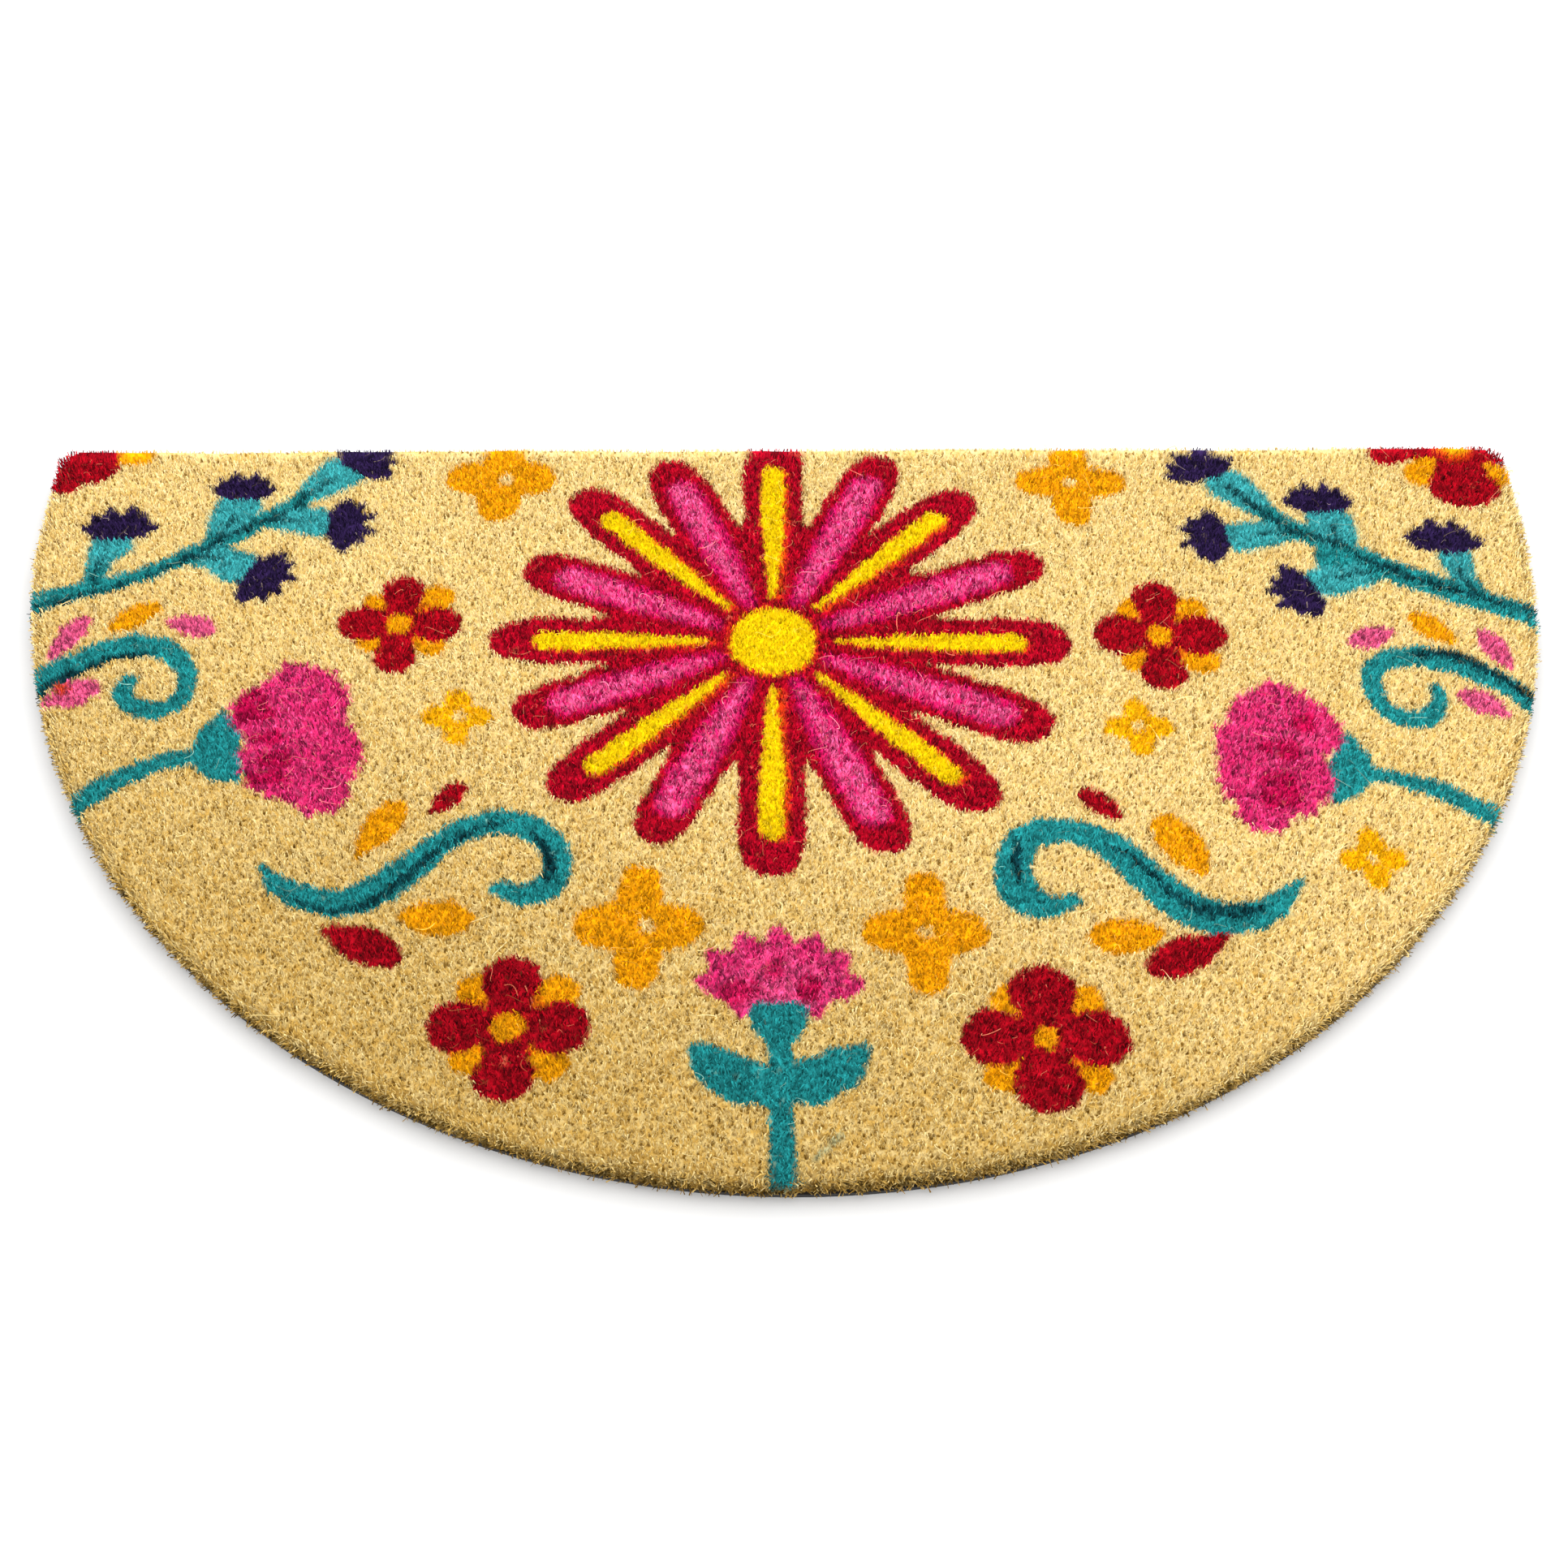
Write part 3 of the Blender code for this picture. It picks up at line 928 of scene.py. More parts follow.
    # Painted shade: the wall of the rim is painted dark in its holes, low down
    low = add("ShaderNodeMapRange", {"Value": height, "From Min": 0.0135, "From Max": 0.008})
    hollow = add("ShaderNodeMapRange", {"Value": holes, "From Min": 0.58, "From Max": 0.38, "To Max": 0.75})
    painted_hole_shade = add("ShaderNodeMath", {0: low, 1: hollow}, operation="MULTIPLY")
    full = add("ShaderNodeMath", {0: 1.0, 1: painted_hole_shade}, operation="SUBTRACT")
    # Painted shade: the ink in the gaps is painted darker too
    deep = add("ShaderNodeMapRange", {"Value": husk_and_pit_shade, "To Min": 1.0, "To Max": 0.52})
    for factor in (painted_light_tone, vary, full, deep):
        tone = add("ShaderNodeMath", {0: tone, 1: factor}, operation="MULTIPLY")
    toned = add("ShaderNodeVectorMath", {0: inked.outputs[2], "Scale": tone}, operation="SCALE")
    rough = add("ShaderNodeMapRange", {"Value": mottle, "To Min": 0.55, "To Max": 0.80})
    # Thin fibres let light through, so their sides are lit almost as their tops are
    facing = add("ShaderNodeNewGeometry").outputs["Normal"]
    lifted = add("ShaderNodeVectorMath", {0: facing, 1: (0.0, 0.0, LIT_THROUGH)}, operation="ADD")
    even = add("ShaderNodeVectorMath", {0: lifted}, operation="NORMALIZE")
    bump = add(
        "ShaderNodeBump", {"Height": ridges, "Strength": 0.15, "Distance": RIDGE_DEPTH, "Normal": even}
    )
    feed(tree, shader, {"Base Color": toned, "Roughness": rough, "Normal": bump})
    feed(tree, shader, {"IOR": 1.5, "Specular IOR Level": 0.04})
    return material


def vinyl_material(colours):
    """Black PVC sheet, calendered with a fine leather-like grain: matte, with a soft broken shine."""
    material, tree, shader = new_material("black_calendered_vinyl")
    add = partial(add_node, tree)
    place = add("ShaderNodeTexCoord").outputs["Object"]
    # The roller's grain is about 1.2 mm from pebble to pebble
    grain = add("ShaderNodeTexVoronoi", {"Vector": place, "Scale": 1 / PEBBLE_SIZE}, feature="SMOOTH_F1")
    dust = add("ShaderNodeTexNoise", {"Vector": place, "Scale": 1 / DUST_SIZE, "Detail": 4.0})
    tone = add("ShaderNodeMapRange", {"Value": dust, "To Min": 0.7, "To Max": 1.5})
    black = tuple(colours.vinyl)
    shade = add("ShaderNodeVectorMath", {0: black, "Scale": tone}, operation="SCALE")
    rough = add("ShaderNodeMapRange", {"Value": grain, "To Min": 0.45, "To Max": 0.70})
    bump = add("ShaderNodeBump", {"Height": grain, "Strength": 0.5, "Distance": PEBBLE_DEPTH})
    feed(tree, shader, {"Base Color": shade, "Roughness": rough, "Normal": bump, "IOR": 1.54})
    return material


def board_material():
    """A studio floor of white painted board: plain and matte."""
    material, tree, shader = new_material("white_painted_board")
    white = (*linear(BOARD_WHITE), 1)
    feed(tree, shader, {"Base Color": white, "Roughness": 0.9, "Specular IOR Level": 0.1})
    return material


def shared_coir(scene):
    """The one coir material, made when it is first asked for."""
    found = bpy.data.materials.get("bleached_coir_stencilled")
    return found or coir_material(scene.doormat_colours, scene.doormat_sizes.tuft)


# Node trees


def new_tree(name, inputs):
    """An empty geometry tree with a geometry input and the named inputs.

    Each input is given with its default, or with its kind where it has none.
    """
    tree = bpy.data.node_groups.new(name, "GeometryNodeTree")
    tree.interface.new_socket("Geometry", in_out="OUTPUT", socket_type="NodeSocketGeometry")
    tree.interface.new_socket("Geometry", in_out="INPUT", socket_type="NodeSocketGeometry")
    for label, default in inputs.items():
        kind = default if isinstance(default, str) else type(default).__name__.title()
        socket = tree.interface.new_socket(label, in_out="INPUT", socket_type="NodeSocket" + kind)
        if default != kind:
            socket.default_value = default
    return tree, add_node(tree, "NodeGroupInput").outputs


def end_tree(tree, geometry, material):
    """Close a tree: realize what it has placed and give it its material."""
    real = add_node(tree, "GeometryNodeRealizeInstances", {0: geometry})
    dressed = add_node(tree, "GeometryNodeSetMaterial", {0: real, "Material": material})
    add_node(tree, "NodeGroupOutput", {0: dressed})


# The least and the most that a lock's height is off, in parts of Uneven
HEIGHT_SPREAD = (-1.2, 0.8)
# The least and the most of its width, in parts of Fibre width
WIDTH_SPREAD = (0.6, 1.3)
# The most that it leans by itself along each axis, in parts of Fibre lean
LEAN_SPREAD = (1.0, 1.0, 0.3)
# A lock whose heading rises less than this isn't grown any longer to reach the shears
LEAST_STEEP = 0.55


def pile_tree():
    """Plants fibre locks on a surface, tuft by tuft, and shears them at one height."""
    tree, given = new_tree(
        "coir_pile_tufts",
        {
            "Fibre": "Object",
            "Material": "Material",
            "Density": 2500000.0,
            "Spacing": 0.00085,
            "Seed": 1,
            "Pieces": 1,
            "Piece": 0,
            "Fibre width": 0.0009,
            "Pile height": 0.0045,
            "Tuft size": 0.005,
            "Pit depth": 0.0015,
            "Upright": 1.0,
            "Along normal": 0.0,
            "Tuft lean": 0.4,
            "Fibre lean": 0.5,
            "Rim lean": 0.0,
            "Rim width": 0.012,
            "Rim drop": 0.0,
            "Uneven": 0.1,
        },
    )
    add = partial(add_node, tree)
    roots = add(
        "GeometryNodeDistributePointsOnFaces",
        {
            "Mesh": given["Geometry"],
            "Distance Min": given["Spacing"],
            "Density Max": given["Density"],
            "Seed": given["Seed"],
        },
        distribute_method="POISSON",
    )
    # The roots are dealt out to the pieces in turn
    number = add("GeometryNodeInputIndex")
    turn = add("ShaderNodeMath", {0: number, 1: given["Pieces"]}, operation="MODULO")
    chosen = add(
        "FunctionNodeCompare",
        {0: turn, 1: given["Piece"], "Epsilon": 0.1},
        data_type="FLOAT",
        operation="EQUAL",
    )
    own_roots = add("GeometryNodeSeparateGeometry", {"Geometry": roots, "Selection": chosen}, domain="POINT")
    # A lock's heading is the sum of where the ground, its tuft, itself and the rim lean it
    place = add("GeometryNodeInputPosition").outputs[0]
    tuft, pit = tuft_field(tree, place, given["Tuft size"])
    own = add(
        "FunctionNodeRandomValue",
        {0: tuple(-part for part in LEAN_SPREAD), 1: LEAN_SPREAD, "Seed": 11},
        data_type="FLOAT_VECTOR",
    )
    rim = add("GeometryNodeProximity", {0: given["Geometry"]}, target_element="EDGES")
    near = add(
        "ShaderNodeMapRange",
        {"Value": rim.outputs["Distance"], "From Max": given["Rim width"], "To Min": 1.0, "To Max": 0.0},
        interpolation_type="SMOOTHSTEP",
    )
    outward = add("ShaderNodeVectorMath", {0: rim.outputs["Position"], 1: place}, operation="SUBTRACT")
    outward = add("ShaderNodeVectorMath", {0: outward}, operation="NORMALIZE")
    rim_lean = add("ShaderNodeMath", {0: near, 1: given["Rim lean"]}, operation="MULTIPLY")
    heading = add("ShaderNodeCombineXYZ", {"Z": given["Upright"]})
    for vector, weight in (
        (roots.outputs["Normal"], given["Along normal"]),
        (tuft, given["Tuft lean"]),
        (own, given["Fibre lean"]),
        (outward, rim_lean),
    ):
        lean = add("ShaderNodeVectorMath", {0: vector, "Scale": weight}, operation="SCALE")
        heading = add("ShaderNodeVectorMath", {0: heading, 1: lean}, operation="ADD")
    heading = add("ShaderNodeVectorMath", {0: heading}, operation="NORMALIZE")
    # A leaning lock is longer, so that the shears cut all of them at about one height
    steep = add("ShaderNodeSeparateXYZ", {0: heading}).outputs["Z"]
    steep = add("ShaderNodeMath", {0: steep, 1: LEAST_STEEP}, operation="MAXIMUM")
    sunk = add("ShaderNodeMath", {0: pit, 1: given["Pit depth"]}, operation="MULTIPLY")
    level = add("ShaderNodeMath", {0: given["Pile height"], 1: sunk}, operation="SUBTRACT")
    # Output 1 of this node is a number, and output 0 a vector
    spare = add(
        "FunctionNodeRandomValue",
        {2: HEIGHT_SPREAD[0], 3: HEIGHT_SPREAD[1], "Seed": 12},
        data_type="FLOAT",
    ).outputs[1]
    growth = add("ShaderNodeMath", {0: spare, 1: given["Uneven"], 2: 1.0}, operation="MULTIPLY_ADD")
    rise = add("ShaderNodeMath", {0: level, 1: growth}, operation="MULTIPLY")
    reach = add("ShaderNodeMath", {0: rise, 1: steep}, operation="DIVIDE")
    girth = add(
        "FunctionNodeRandomValue",
        {2: WIDTH_SPREAD[0], 3: WIDTH_SPREAD[1], "Seed": 13},
        data_type="FLOAT",
    ).outputs[1]
    width = add("ShaderNodeMath", {0: given["Fibre width"], 1: girth}, operation="MULTIPLY")
    scale = add("ShaderNodeCombineXYZ", {"X": width, "Y": width, "Z": reach})
    spin = add("FunctionNodeRandomValue", {2: 0.0, 3: math.tau, "Seed": 14}, data_type="FLOAT").outputs[1]
    twist = add("FunctionNodeAxisAngleToRotation", {"Axis": (0.0, 0.0, 1.0), "Angle": spin})
    aimed = add("FunctionNodeAlignRotationToVector", {"Vector": heading}, axis="Z")
    turned = add(
        "FunctionNodeRotateRotation", {"Rotation": aimed, "Rotate By": twist}, rotation_space="LOCAL"
    )
    # The pile falls away a little towards the rim
    drop = near
    for factor in (near, given["Rim drop"], -1.0):
        drop = add("ShaderNodeMath", {0: drop, 1: factor}, operation="MULTIPLY")
    offset = add("ShaderNodeCombineXYZ", {"Z": drop})
    rounded = add("GeometryNodeSetPosition", {"Geometry": own_roots, "Offset": offset})
    fibre = add("GeometryNodeObjectInfo", {"Object": given["Fibre"]}).outputs["Geometry"]
    planted = add(
        "GeometryNodeInstanceOnPoints",
        {"Points": rounded, "Instance": fibre, "Rotation": turned, "Scale": scale},
    )
    end_tree(tree, planted, given["Material"])
    return tree


def bed_tree():
    """Presses pits into the coir bed between the same tufts as the pile has."""
    tree, given = new_tree(
        "coir_bed_pits", {"Material": "Material", "Tuft size": 0.005, "Pit depth": 0.0015}
    )
    add = partial(add_node, tree)
    place = add("GeometryNodeInputPosition").outputs[0]
    _, pit = tuft_field(tree, place, given["Tuft size"])
    soft = add("GeometryNodeInputNamedAttribute", {"Name": "soft"}, data_type="FLOAT")
    down = pit
    for factor in (given["Pit depth"], soft, -1.0):
        down = add("ShaderNodeMath", {0: down, 1: factor}, operation="MULTIPLY")
    offset = add("ShaderNodeCombineXYZ", {"Z": down})
    pressed = add("GeometryNodeSetPosition", {"Geometry": given["Geometry"], "Offset": offset})
    end_tree(tree, pressed, given["Material"])
    return tree


# The most that a loose fibre tilts, in radians
STRAY_TILT = 0.25
# The least and the most of its size, in parts of Fibre length, and how much rarer large ones are
STRAY_SPREAD = (0.28, 1.25)
STRAY_RARITY = 5.0
# Its girth is this many times its size, and this much more
STRAY_GIRTH = (0.4, 0.3)


def stray_tree():
    """Lays long loose fibres over the pile: curved threads, three-sided, at random headings."""
    tree, given = new_tree(
        "coir_stray_fibres",
        {
            "Material": "Material",
            "Density": 8000.0,
            "Seed": 1,
            "Fibre radius": 0.0002,
            "Fibre length": 0.012,
        },
    )
    add = partial(add_node, tree)
    profile = add(
        "GeometryNodeCurvePrimitiveCircle", {"Resolution": STRAY_SIDES, "Radius": given["Fibre radius"]}
    )
    # Three bends of a fibre of length 1, whose root lies a little under its ground
    root = (0.0, 0.0, -0.08)
    bends = (
        {"Start Handle": (-0.10, 0.30, 0.10), "End Handle": (0.15, -0.35, 0.12), "End": (1.0, 0.1, -0.06)},
        {"Start Handle": (0.35, 0.20, 0.14), "End Handle": (0.30, 0.25, 0.10), "End": (0.8, 0.0, -0.08)},
        {"Start Handle": (0.20, -0.45, 0.10), "End Handle": (-0.25, -0.30, 0.16), "End": (0.7, -0.3, -0.04)},
    )
    threads = []
    for bend in bends:
        spots = {"Resolution": STRAY_STEPS}
        for name, spot in {"Start": root, **bend}.items():
            spots[name] = add(
                "ShaderNodeVectorMath", {0: spot, "Scale": given["Fibre length"]}, operation="SCALE"
            )
        line = add("GeometryNodeCurvePrimitiveBezierSegment", spots, mode="OFFSET")
        tube = add("GeometryNodeCurveToMesh", {"Curve": line, "Profile Curve": profile, "Fill Caps": True})
        threads.append(tube.outputs[0])
    kinds = add("GeometryNodeGeometryToInstance")
    for thread in reversed(threads):
        tree.links.new(thread, kinds.inputs[0])
    points = add(
        "GeometryNodeDistributePointsOnFaces",
        {"Mesh": given["Geometry"], "Density": given["Density"], "Seed": given["Seed"]},
    )
    spin = add(
        "FunctionNodeRandomValue",
        {0: (-STRAY_TILT, -STRAY_TILT, 0.0), 1: (STRAY_TILT, STRAY_TILT, math.tau), "Seed": 21},
        data_type="FLOAT_VECTOR",
    )
    # Most of them are short, and a few are long
    chance = add("FunctionNodeRandomValue", {2: 0.0, 3: 1.0, "Seed": 22}, data_type="FLOAT")
    rare = add("ShaderNodeMath", {0: chance.outputs[1], 1: STRAY_RARITY}, operation="POWER")
    least, most = STRAY_SPREAD
    size = add("ShaderNodeMapRange", {"Value": rare, "To Min": least, "To Max": most})
    slope, start = STRAY_GIRTH
    girth = add("ShaderNodeMath", {0: size, 1: slope, 2: start}, operation="MULTIPLY_ADD")
    scale = add("ShaderNodeCombineXYZ", {"X": size, "Y": girth, "Z": girth})
    laid = add(
        "GeometryNodeInstanceOnPoints",
        {"Points": points, "Instance": kinds, "Pick Instance": True, "Rotation": spin, "Scale": scale},
    )
    end_tree(tree, laid, given["Material"])
    return tree


def grown(name, planting, tree, values):
    """Run a geometry tree on a mesh, and keep the result as an object with a plain mesh."""
    host = bpy.data.objects.new(name + "_planting", planting)
    bpy.context.scene.collection.objects.link(host)
    modifier = host.modifiers.new("Growth", "NODES")
    modifier.node_group = tree
    for item in tree.interface.items_tree:
        if item.item_type == "SOCKET" and item.in_out == "INPUT" and item.name in values:
            modifier[item.identifier] = values[item.name]
    bpy.context.view_layer.update()
    evaluated = host.evaluated_get(bpy.context.evaluated_depsgraph_get())
    mesh = bpy.data.meshes.new_from_object(evaluated)
    bpy.data.objects.remove(host)
    bpy.data.meshes.remove(planting)
    if not mesh.polygons:
        raise RuntimeError(f"{name}: the tree grew nothing")
    mesh.name = name
    piece = bpy.data.objects.new(name, mesh)
    bpy.context.scene.collection.objects.link(piece)
    return piece


# Surfaces that the pile is planted on

# Heights from the floor: of the bed, of the locks' roots, and of the wall that the rim's locks cover
BED_BASE = 0.0024
BED_TOP = 0.0131
ROOT_HEIGHT = 0.0120
WALL_TOP = 0.0114
# The outer edge of the bed's top. The back edge is sheared so close that it stands almost as high
# as the tips there, and on the curve it is well below them
BACK_TOP = 0.0150
RIM_TOP = 0.0104
# How far the bed's shoulder lies under its top, and how far under the tips the loose fibres start
SHOULDER_DROP = 0.0004
STRAY_DROP = 0.0004

# How far inside the rim's line each surface ends
RIM_INSET = 0.0024
SHOULDER_INSET = 0.0052
TOP_INSET = 0.0004
WALL_INSET = 0.0020
# The bed goes this much further out along the back edge
BACK_SPREAD = 0.0015

# The bed's grid: its spacing, how far a spot strays, and how near the shoulder it may lie
BED_SPACING = 0.0025
BED_SCATTER = 0.3
BED_CLEARANCE = 1.1
# The share of a pit's depth at the bed's rim
RIM_SOFTNESS = 0.3

# Locks tried to a square metre, before those too near another are left out
PILE_DENSITY = 2500000.0
RIM_DENSITY = 3600000.0
# Loose fibres to a square metre
STRAY_DENSITY = 9500.0

# Two in three of the fibres that reach past the rim's line are cut off within this much of it
PILE_SLACK = 0.0005
RIM_SLACK = 0.0020
# The back edge is cut closer, at this share of the slack
BACK_SLACK_SHARE = 0.3

# How well bleached the coir is, with painted shade lower down: on the bed, and from the roots to the tips of
# a lock
BED_BLEACH_AND_SHADE = (0.75,)
LOCK_BLEACH_AND_SHADE = (0.8, 0.8, 1.0, 1.0)
RIM_BLEACH_AND_SHADE = (0.45, 0.45, 1.0, 1.0)
STRAY_BLEACH = (1.0,)
# Loose fibres take a little less ink
STRAY_COVER = 0.85


def top_planting(sizes, height):
    """The level ground of the pile, as one face."""
    points, _ = rim_line(sizes, TOP_INSET)
    mesh = bpy.data.meshes.new("top_planting")
    mesh.from_pydata([(x, y, height) for x, y in points], [], [tuple(range(len(points)))])
    return mesh


def band(lower, upper, count):
    """Faces between two closed rows of count points, from the numbers of their first points."""
    faces = []
    for index in range(count):
        after = (index + 1) % count
        faces.append((lower + index, lower + after, upper + after, upper + index))
    return faces


def wall_planting(sizes):
    """The upright wall of the rim, which faces outwards."""
    points, _ = rim_line(sizes, WALL_INSET)
    places = [(x, y, height) for height in (BED_BASE, WALL_TOP) for x, y in points]
    mesh = bpy.data.meshes.new("wall_planting")
    mesh.from_pydata(places, [], band(0, len(points), len(points)))
    return mesh


def bed_spots(sizes, inner):
    """A triangular grid of spots inside the closed line inner, each a little out of place."""
    step = BED_SPACING
    across = np.arange(-sizes.width / 2, sizes.width / 2, step)
    along = np.arange(-sizes.depth / 2, sizes.depth / 2, step * math.sqrt(3) / 2)
    grid_x, grid_y = np.meshgrid(across, along)
    grid_x = grid_x + step / 2 * (np.arange(len(along)) % 2)[:, None]
    shift = np.random.default_rng(3).uniform(-BED_SCATTER, BED_SCATTER, (2, *grid_x.shape)) * step
    spots = np.column_stack(((grid_x + shift[0]).ravel(), (grid_y + shift[1]).ravel()))
    nearest = np.full(len(spots), np.inf)
    inside = np.zeros(len(spots), bool)
    for start, end in zip(inner, np.roll(inner, -1, axis=0)):
        nearest = np.minimum(nearest, np.hypot(spots[:, 0] - start[0], spots[:, 1] - start[1]))
        crosses = (start[1] > spots[:, 1]) != (end[1] > spots[:, 1])
        if start[1] != end[1]:
            at = (end[0] - start[0]) * (spots[:, 1] - start[1]) / (end[1] - start[1]) + start[0]
            inside ^= crosses & (spots[:, 0] < at)
    return spots[inside & (nearest > step * BED_CLEARANCE)]


def bed_ground(sizes):
    """The closed bed: a level top of small triangles, a shoulder, a wall and an underside."""
    line, normals = rim_line(sizes)
    # This is 1 on the back edge, 0 on the curve, and in between at the corners
    behind = np.clip(normals[:, 1:] * 4 - 3, 0, 1)
    rim = line - normals * (RIM_INSET - BACK_SPREAD * behind)
    inner, _ = rim_line(sizes, SHOULDER_INSET)
    count = len(rim)
    flat = [Vector(point) for point in np.vstack((rim, inner, bed_spots(sizes, inner)))]
    edges = [(row + index, row + (index + 1) % count) for row in (0, count) for index in range(count)]
    # Output type 1 keeps the triangles inside the closed rim
    points, _, faces, *_ = delaunay_2d_cdt(flat, edges, [], 1, 1e-6)
    places = [(point.x, point.y, BED_TOP) for point in points]
    for index in range(count):
        top = RIM_TOP + (BACK_TOP - RIM_TOP) * behind[index, 0]
        places[index] = (*places[index][:2], top)
        places[count + index] = (*places[count + index][:2], BED_TOP - SHOULDER_DROP)
    soft = np.ones(len(places) + count)
    soft[:count] = RIM_SOFTNESS
    soft[len(places) :] = 0
    base = len(places)
    places += [(x, y, BED_BASE) for x, y in rim]
    faces = [tuple(face) for face in faces] + band(base, 0, count)
    faces.append(tuple(range(base + count - 1, base - 1, -1)))
    mesh = bpy.data.meshes.new("coir_bed")
    mesh.from_pydata(places, [], faces)
    store(mesh, "soft", "FLOAT", soft)
    return mesh


def trim(mesh, sizes, slack, seed, group):
    """Cut fibres off at the rim's line: points outside it are drawn in, all but a little slack."""
    places = places_of(mesh)
    chance = np.random.default_rng(seed)
    spare = np.repeat(np.abs(chance.normal(0, slack, len(places) // group)), group)
    back = sizes.depth / 2
    middle = back - sizes.side
    depth = sizes.depth - sizes.side
    half = sizes.width / 2
    ahead = np.minimum(places[:, 1] - middle, 0)
    ratio = np.hypot(places[:, 0] / half, ahead / depth)
    limit = 1 + spare / half
    factor = np.where(ratio > limit, limit / np.maximum(ratio, 1e-6), 1.0)
    places[:, 0] *= factor
    places[:, 1] = np.where(ahead < 0, middle + ahead * factor, places[:, 1])
    places[:, 1] = np.minimum(places[:, 1], back + spare * BACK_SLACK_SHARE)
    mesh.vertices.foreach_set("co", places.ravel())


# Half the width of a lock at its root and at its tip, which lie across each other
LOCK_ROOT = 0.5
LOCK_TIP = 0.38


def fibre_lock():
    """A lock of a few fibres, of length 1: a closed sliver that is sheared square at its tip."""
    mesh = bpy.data.meshes.new("fibre_lock")
    places = [(-LOCK_ROOT, 0, 0), (LOCK_ROOT, 0, 0), (0, -LOCK_TIP, 1), (0, LOCK_TIP, 1)]
    mesh.from_pydata(places, [], [(0, 1, 2), (1, 0, 3), (0, 2, 3), (1, 3, 2)])
    lock = bpy.data.objects.new("fibre_lock", mesh)
    bpy.context.scene.collection.objects.link(lock)
    return lock


# A lock's four corners in its own square of the map
LOCK_CORNERS = np.array([(0.12, 0.12), (0.88, 0.12), (0.12, 0.88), (0.88, 0.88)])


def lock_map(mesh):
    """Give each lock its own square of a UV map, so that its colours can be baked."""
    corners = np.empty(len(mesh.loops), np.int32)
    mesh.loops.foreach_get("vertex_index", corners)
    lock = corners // LOCK_POINTS
    side = math.ceil(math.sqrt(len(mesh.vertices) / LOCK_POINTS))
    across = (lock % side + LOCK_CORNERS[corners % LOCK_POINTS, 0]) / side
    up = (lock // side + LOCK_CORNERS[corners % LOCK_POINTS, 1]) / side
    layer = mesh.uv_layers.new(name="OFBake")
    layer.data.foreach_set("uv", np.column_stack((across, up)).astype(np.float32).ravel())


def dress(piece):
    """Let a piece ride on the mat."""
    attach(piece, "root")


def finish_locks(piece, scene, slack, trim_seed, ink_seed, bleach_and_shade):
    """Trim, ink and map a piece of fibre locks, and let it ride on the mat."""
    trim(piece.data, scene.doormat_sizes, slack, trim_seed, LOCK_POINTS)
    colours = scene.doormat_colours
    ink_mesh(piece.data, colours, LOCK_POINTS, ink_seed, bleach_and_shade, tip_points=LOCK_TIP_POINTS)
    lock_map(piece.data)
    dress(piece)


# Operators


class DOORMAT_OT_bed(bpy.types.Operator):
    """Build the dense bed of coir that the tufts rise from"""

    bl_idname = "doormat.bed"
    bl_label = "Coir bed"

    def execute(self, context):
        sizes = context.scene.doormat_sizes
        values = {
            "Material": shared_coir(context.scene),
            "Tuft size": sizes.tuft,
            "Pit depth": sizes.pit * 1.2,
        }
        bed = grown("coir_bed", bed_ground(sizes), bed_tree(), values)
        ink_mesh(bed.data, context.scene.doormat_colours, group=1, seed=5, bleach_and_shade=BED_BLEACH_AND_SHADE)
        dress(bed)
        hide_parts("coir_pile")
        return {"FINISHED"}


class DOORMAT_OT_pile(bpy.types.Operator):
    """Plant the sheared fibre locks on the bed, in interleaved pieces"""

    bl_idname = "doormat.pile"
    bl_label = "Coir pile"

    def execute(self, context):
        sizes = context.scene.doormat_sizes
        lock = fibre_lock()
        tree = pile_tree()
        values = {
            "Fibre": lock,
            "Material": shared_coir(context.scene),
            "Density": PILE_DENSITY,
            "Spacing": sizes.spacing,
            "Seed": 101,
            "Pieces": sizes.pieces,
            "Fibre width": sizes.fibre_width,
            "Pile height": sizes.height - ROOT_HEIGHT,
            "Tuft size": sizes.tuft,
            "Pit depth": sizes.pit,
            "Upright": 1.0,
            "Tuft lean": sizes.tuft_lean,
            "Fibre lean": sizes.fibre_lean,
            "Rim lean": 0.3,
            "Rim width": 0.009,
            "Rim drop": 0.0002,
        }
        for number in range(sizes.pieces):
            values["Piece"] = number
            ground = top_planting(sizes, ROOT_HEIGHT)
            piece = grown(f"coir_pile_locks_{number + 1}", ground, tree, values)
            finish_locks(
                piece,
                context.scene,
                slack=PILE_SLACK,
                trim_seed=61 + number,
                ink_seed=31 + number,
                bleach_and_shade=LOCK_BLEACH_AND_SHADE,
            )
        bpy.data.objects.remove(lock)
        return {"FINISHED"}


class DOORMAT_OT_rim(bpy.types.Operator):
    """Plant the fibres that stand out round the cut rim"""

    bl_idname = "doormat.rim"
    bl_label = "Coir rim"

    def execute(self, context):
        sizes = context.scene.doormat_sizes
        lock = fibre_lock()
        values = {
            "Fibre": lock,
            "Material": shared_coir(context.scene),
            "Density": RIM_DENSITY,
            "Spacing": sizes.spacing * 0.8,
            "Seed": 201,
            "Fibre width": sizes.fibre_width * 0.9,
            "Pile height": 0.0023,
            "Tuft size": sizes.tuft,
            "Pit depth": sizes.pit * 0.4,
            "Upright": 0.25,
            "Along normal": 0.60,
            "Tuft lean": 0.25,
            "Fibre lean": sizes.fibre_lean * 1.8,
            "Uneven": 0.5,
        }
        piece = grown("coir_rim_locks", wall_planting(sizes), pile_tree(), values)
        finish_locks(
            piece, context.scene, slack=RIM_SLACK, trim_seed=71, ink_seed=41, bleach_and_shade=RIM_BLEACH_AND_SHADE
        )
        bpy.data.objects.remove(lock)
        return {"FINISHED"}


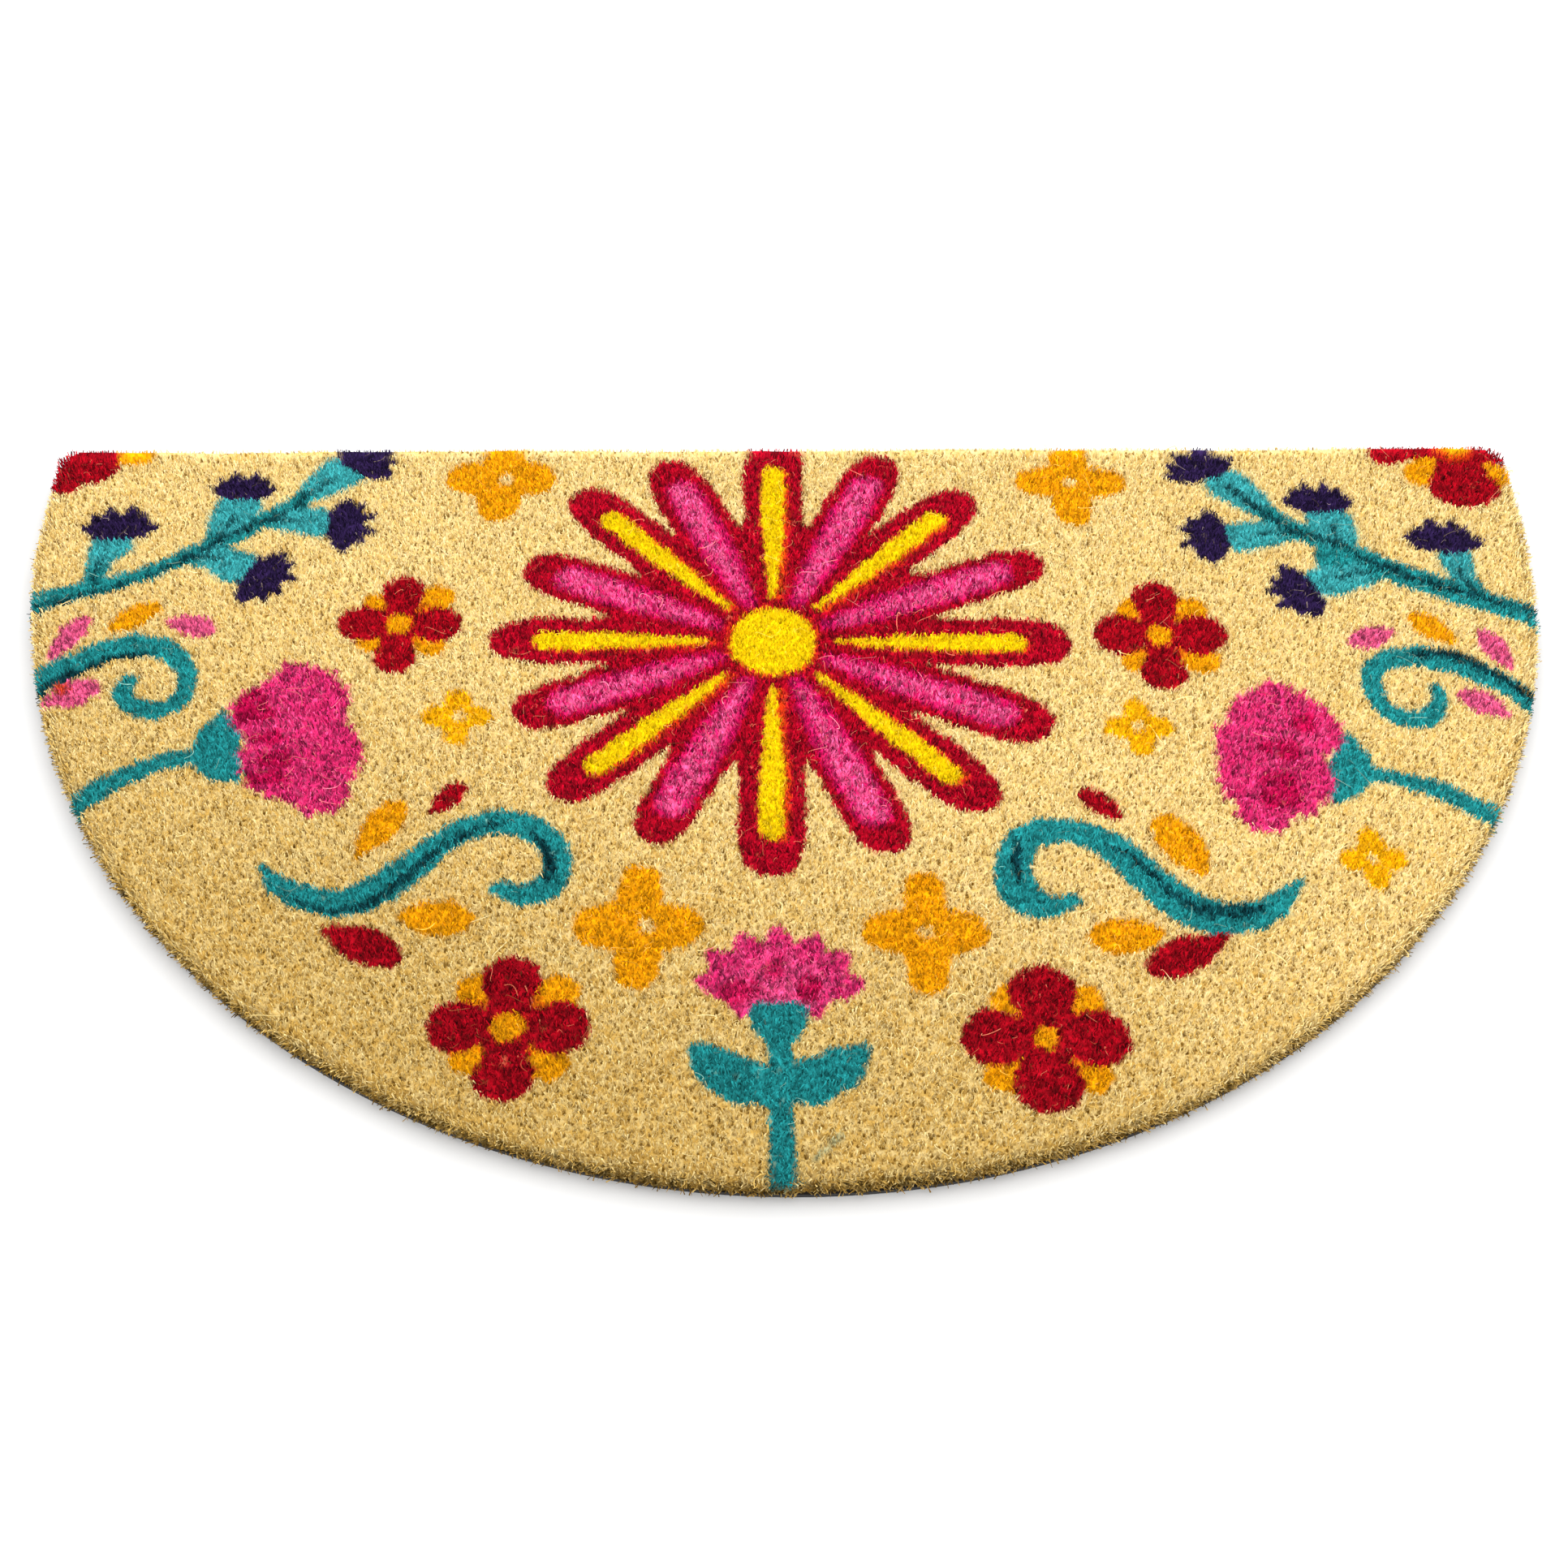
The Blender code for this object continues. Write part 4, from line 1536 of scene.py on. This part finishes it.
class DOORMAT_OT_strays(bpy.types.Operator):
    """Lay long loose fibres over the pile"""

    bl_idname = "doormat.strays"
    bl_label = "Stray fibres"

    def execute(self, context):
        sizes = context.scene.doormat_sizes
        colours = context.scene.doormat_colours
        values = {
            "Material": shared_coir(context.scene),
            "Density": STRAY_DENSITY,
            "Seed": 301,
            "Fibre radius": 0.00028,
            "Fibre length": 0.0105,
        }
        ground = top_planting(sizes, sizes.height - STRAY_DROP)
        piece = grown("coir_stray_fibres", ground, stray_tree(), values)
        ink_mesh(piece.data, colours, STRAY_POINTS, 51, STRAY_BLEACH, cover_limit=STRAY_COVER)
        dress(piece)
        return {"FINISHED"}


class DOORMAT_OT_backing(bpy.types.Operator):
    """Finish the vinyl backing sheet, which carries the whole pile"""

    bl_idname = "doormat.backing"
    bl_label = "Vinyl backing"

    def execute(self, context):
        sizes = context.scene.doormat_sizes
        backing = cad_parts["backing"]
        material = vinyl_material(context.scene.doormat_colours)
        for place in backing.material_slots:
            place.material = material
        area = sizes.width * sizes.side
        area += math.pi / 4 * sizes.width * (sizes.depth - sizes.side)
        names = ["coir_bed", "coir_rim_locks", "coir_stray_fibres"]
        names += [f"coir_pile_locks_{number + 1}" for number in range(sizes.pieces)]
        return {"FINISHED"}


# The camera that was fitted to the photo: the point it looks at, its distance and its angles
CAMERA_TARGET = (-0.0035, 0.0041, 0.0)
CAMERA_DISTANCE = 1.2253
CAMERA_ELEVATION = 48.049
CAMERA_AZIMUTH = -1.563
CAMERA_ROLL = 0.873
CAMERA_LENS = 59.14
CAMERA_SENSOR = 36.0

# The studio: half the floor's width, and the light that comes from all sides
FLOOR_REACH = 6.0
SKY_STRENGTH = 2.1


def softbox(name, place, target, width, depth, watts):
    """A rectangular light that faces target."""
    lamp = bpy.data.lights.new(name, "AREA")
    lamp.shape = "RECTANGLE"
    lamp.size = width
    lamp.size_y = depth
    lamp.energy = watts
    holder = bpy.data.objects.new(name, lamp)
    holder.location = place
    holder.rotation_euler = (Vector(target) - Vector(place)).to_track_quat("-Z", "Y").to_euler()
    bpy.context.scene.collection.objects.link(holder)


class DOORMAT_OT_stage(bpy.types.Operator):
    """Set the plain floor, the soft lights and the camera of the photo"""

    bl_idname = "doormat.stage"
    bl_label = "Floor, lights and camera"

    def execute(self, context):
        scene = context.scene
        scene.view_settings.view_transform = "Standard"
        board = bpy.data.meshes.new("floor")
        corners = [(x * FLOOR_REACH, y * FLOOR_REACH, 0) for x, y in ((-1, -1), (1, -1), (1, 1), (-1, 1))]
        board.from_pydata(corners, [], [(0, 1, 2, 3)])
        board.materials.append(board_material())
        floor = bpy.data.objects.new("floor", board)
        scene.collection.objects.link(floor)
        world = bpy.data.worlds.new("studio")
        world.use_nodes = True
        sky = world.node_tree.nodes["Background"]
        feed(world.node_tree, sky, {"Color": (1, 1, 1, 1), "Strength": SKY_STRENGTH})
        scene.world = world
        softbox(
            "overhead_softbox",
            place=(0.45, 0.55, 1.15),
            target=(0.05, 0.03, 0),
            width=1.6,
            depth=1.5,
            watts=6,
        )
        azimuth = math.radians(CAMERA_AZIMUTH)
        elevation = math.radians(CAMERA_ELEVATION)
        roll = math.radians(CAMERA_ROLL)
        flat = math.cos(elevation)
        back = Vector((math.sin(azimuth) * flat, -math.cos(azimuth) * flat, math.sin(elevation)))
        right = Vector((math.cos(azimuth), math.sin(azimuth), 0))
        up = back.cross(right)
        rolled_right = right * math.cos(roll) + up * math.sin(roll)
        rolled_up = up * math.cos(roll) - right * math.sin(roll)
        eye = Vector(CAMERA_TARGET) + back * CAMERA_DISTANCE
        lens = bpy.data.cameras.new("photo_camera")
        lens.lens = CAMERA_LENS
        lens.sensor_width = CAMERA_SENSOR
        camera = bpy.data.objects.new("photo_camera", lens)
        turned = Matrix((rolled_right, rolled_up, back)).transposed().to_4x4()
        camera.matrix_world = Matrix.Translation(eye) @ turned
        scene.collection.objects.link(camera)
        scene.camera = camera
        return {"FINISHED"}


class DOORMAT_PT_tools(bpy.types.Panel):
    """Everything that builds the doormat, in order"""

    bl_idname = "DOORMAT_PT_tools"
    bl_label = "Coir doormat"
    bl_space_type = "VIEW_3D"
    bl_region_type = "UI"
    bl_category = "Doormat"

    def draw(self, context):
        layout = self.layout
        for group in (context.scene.doormat_sizes, context.scene.doormat_colours):
            box = layout.box()
            for name in group.__annotations__:
                box.prop(group, name)
        for step in STEPS:
            layout.operator(step.bl_idname)


STEPS = (
    DOORMAT_OT_bed,
    DOORMAT_OT_pile,
    DOORMAT_OT_rim,
    DOORMAT_OT_strays,
    DOORMAT_OT_backing,
    DOORMAT_OT_stage,
)
CLASSES = (DoormatSizes, DoormatColours, *STEPS, DOORMAT_PT_tools)


def register():
    for kind in CLASSES:
        bpy.utils.register_class(kind)
    bpy.types.Scene.doormat_sizes = PointerProperty(type=DoormatSizes)
    bpy.types.Scene.doormat_colours = PointerProperty(type=DoormatColours)


def unregister():
    del bpy.types.Scene.doormat_colours
    del bpy.types.Scene.doormat_sizes
    for kind in reversed(CLASSES):
        bpy.utils.unregister_class(kind)


def main():
    register()
    bpy.ops.doormat.bed()
    bpy.ops.doormat.pile()
    bpy.ops.doormat.rim()
    bpy.ops.doormat.strays()
    bpy.ops.doormat.backing()
    bpy.ops.doormat.stage()


if __name__ == "__main__":
    main()
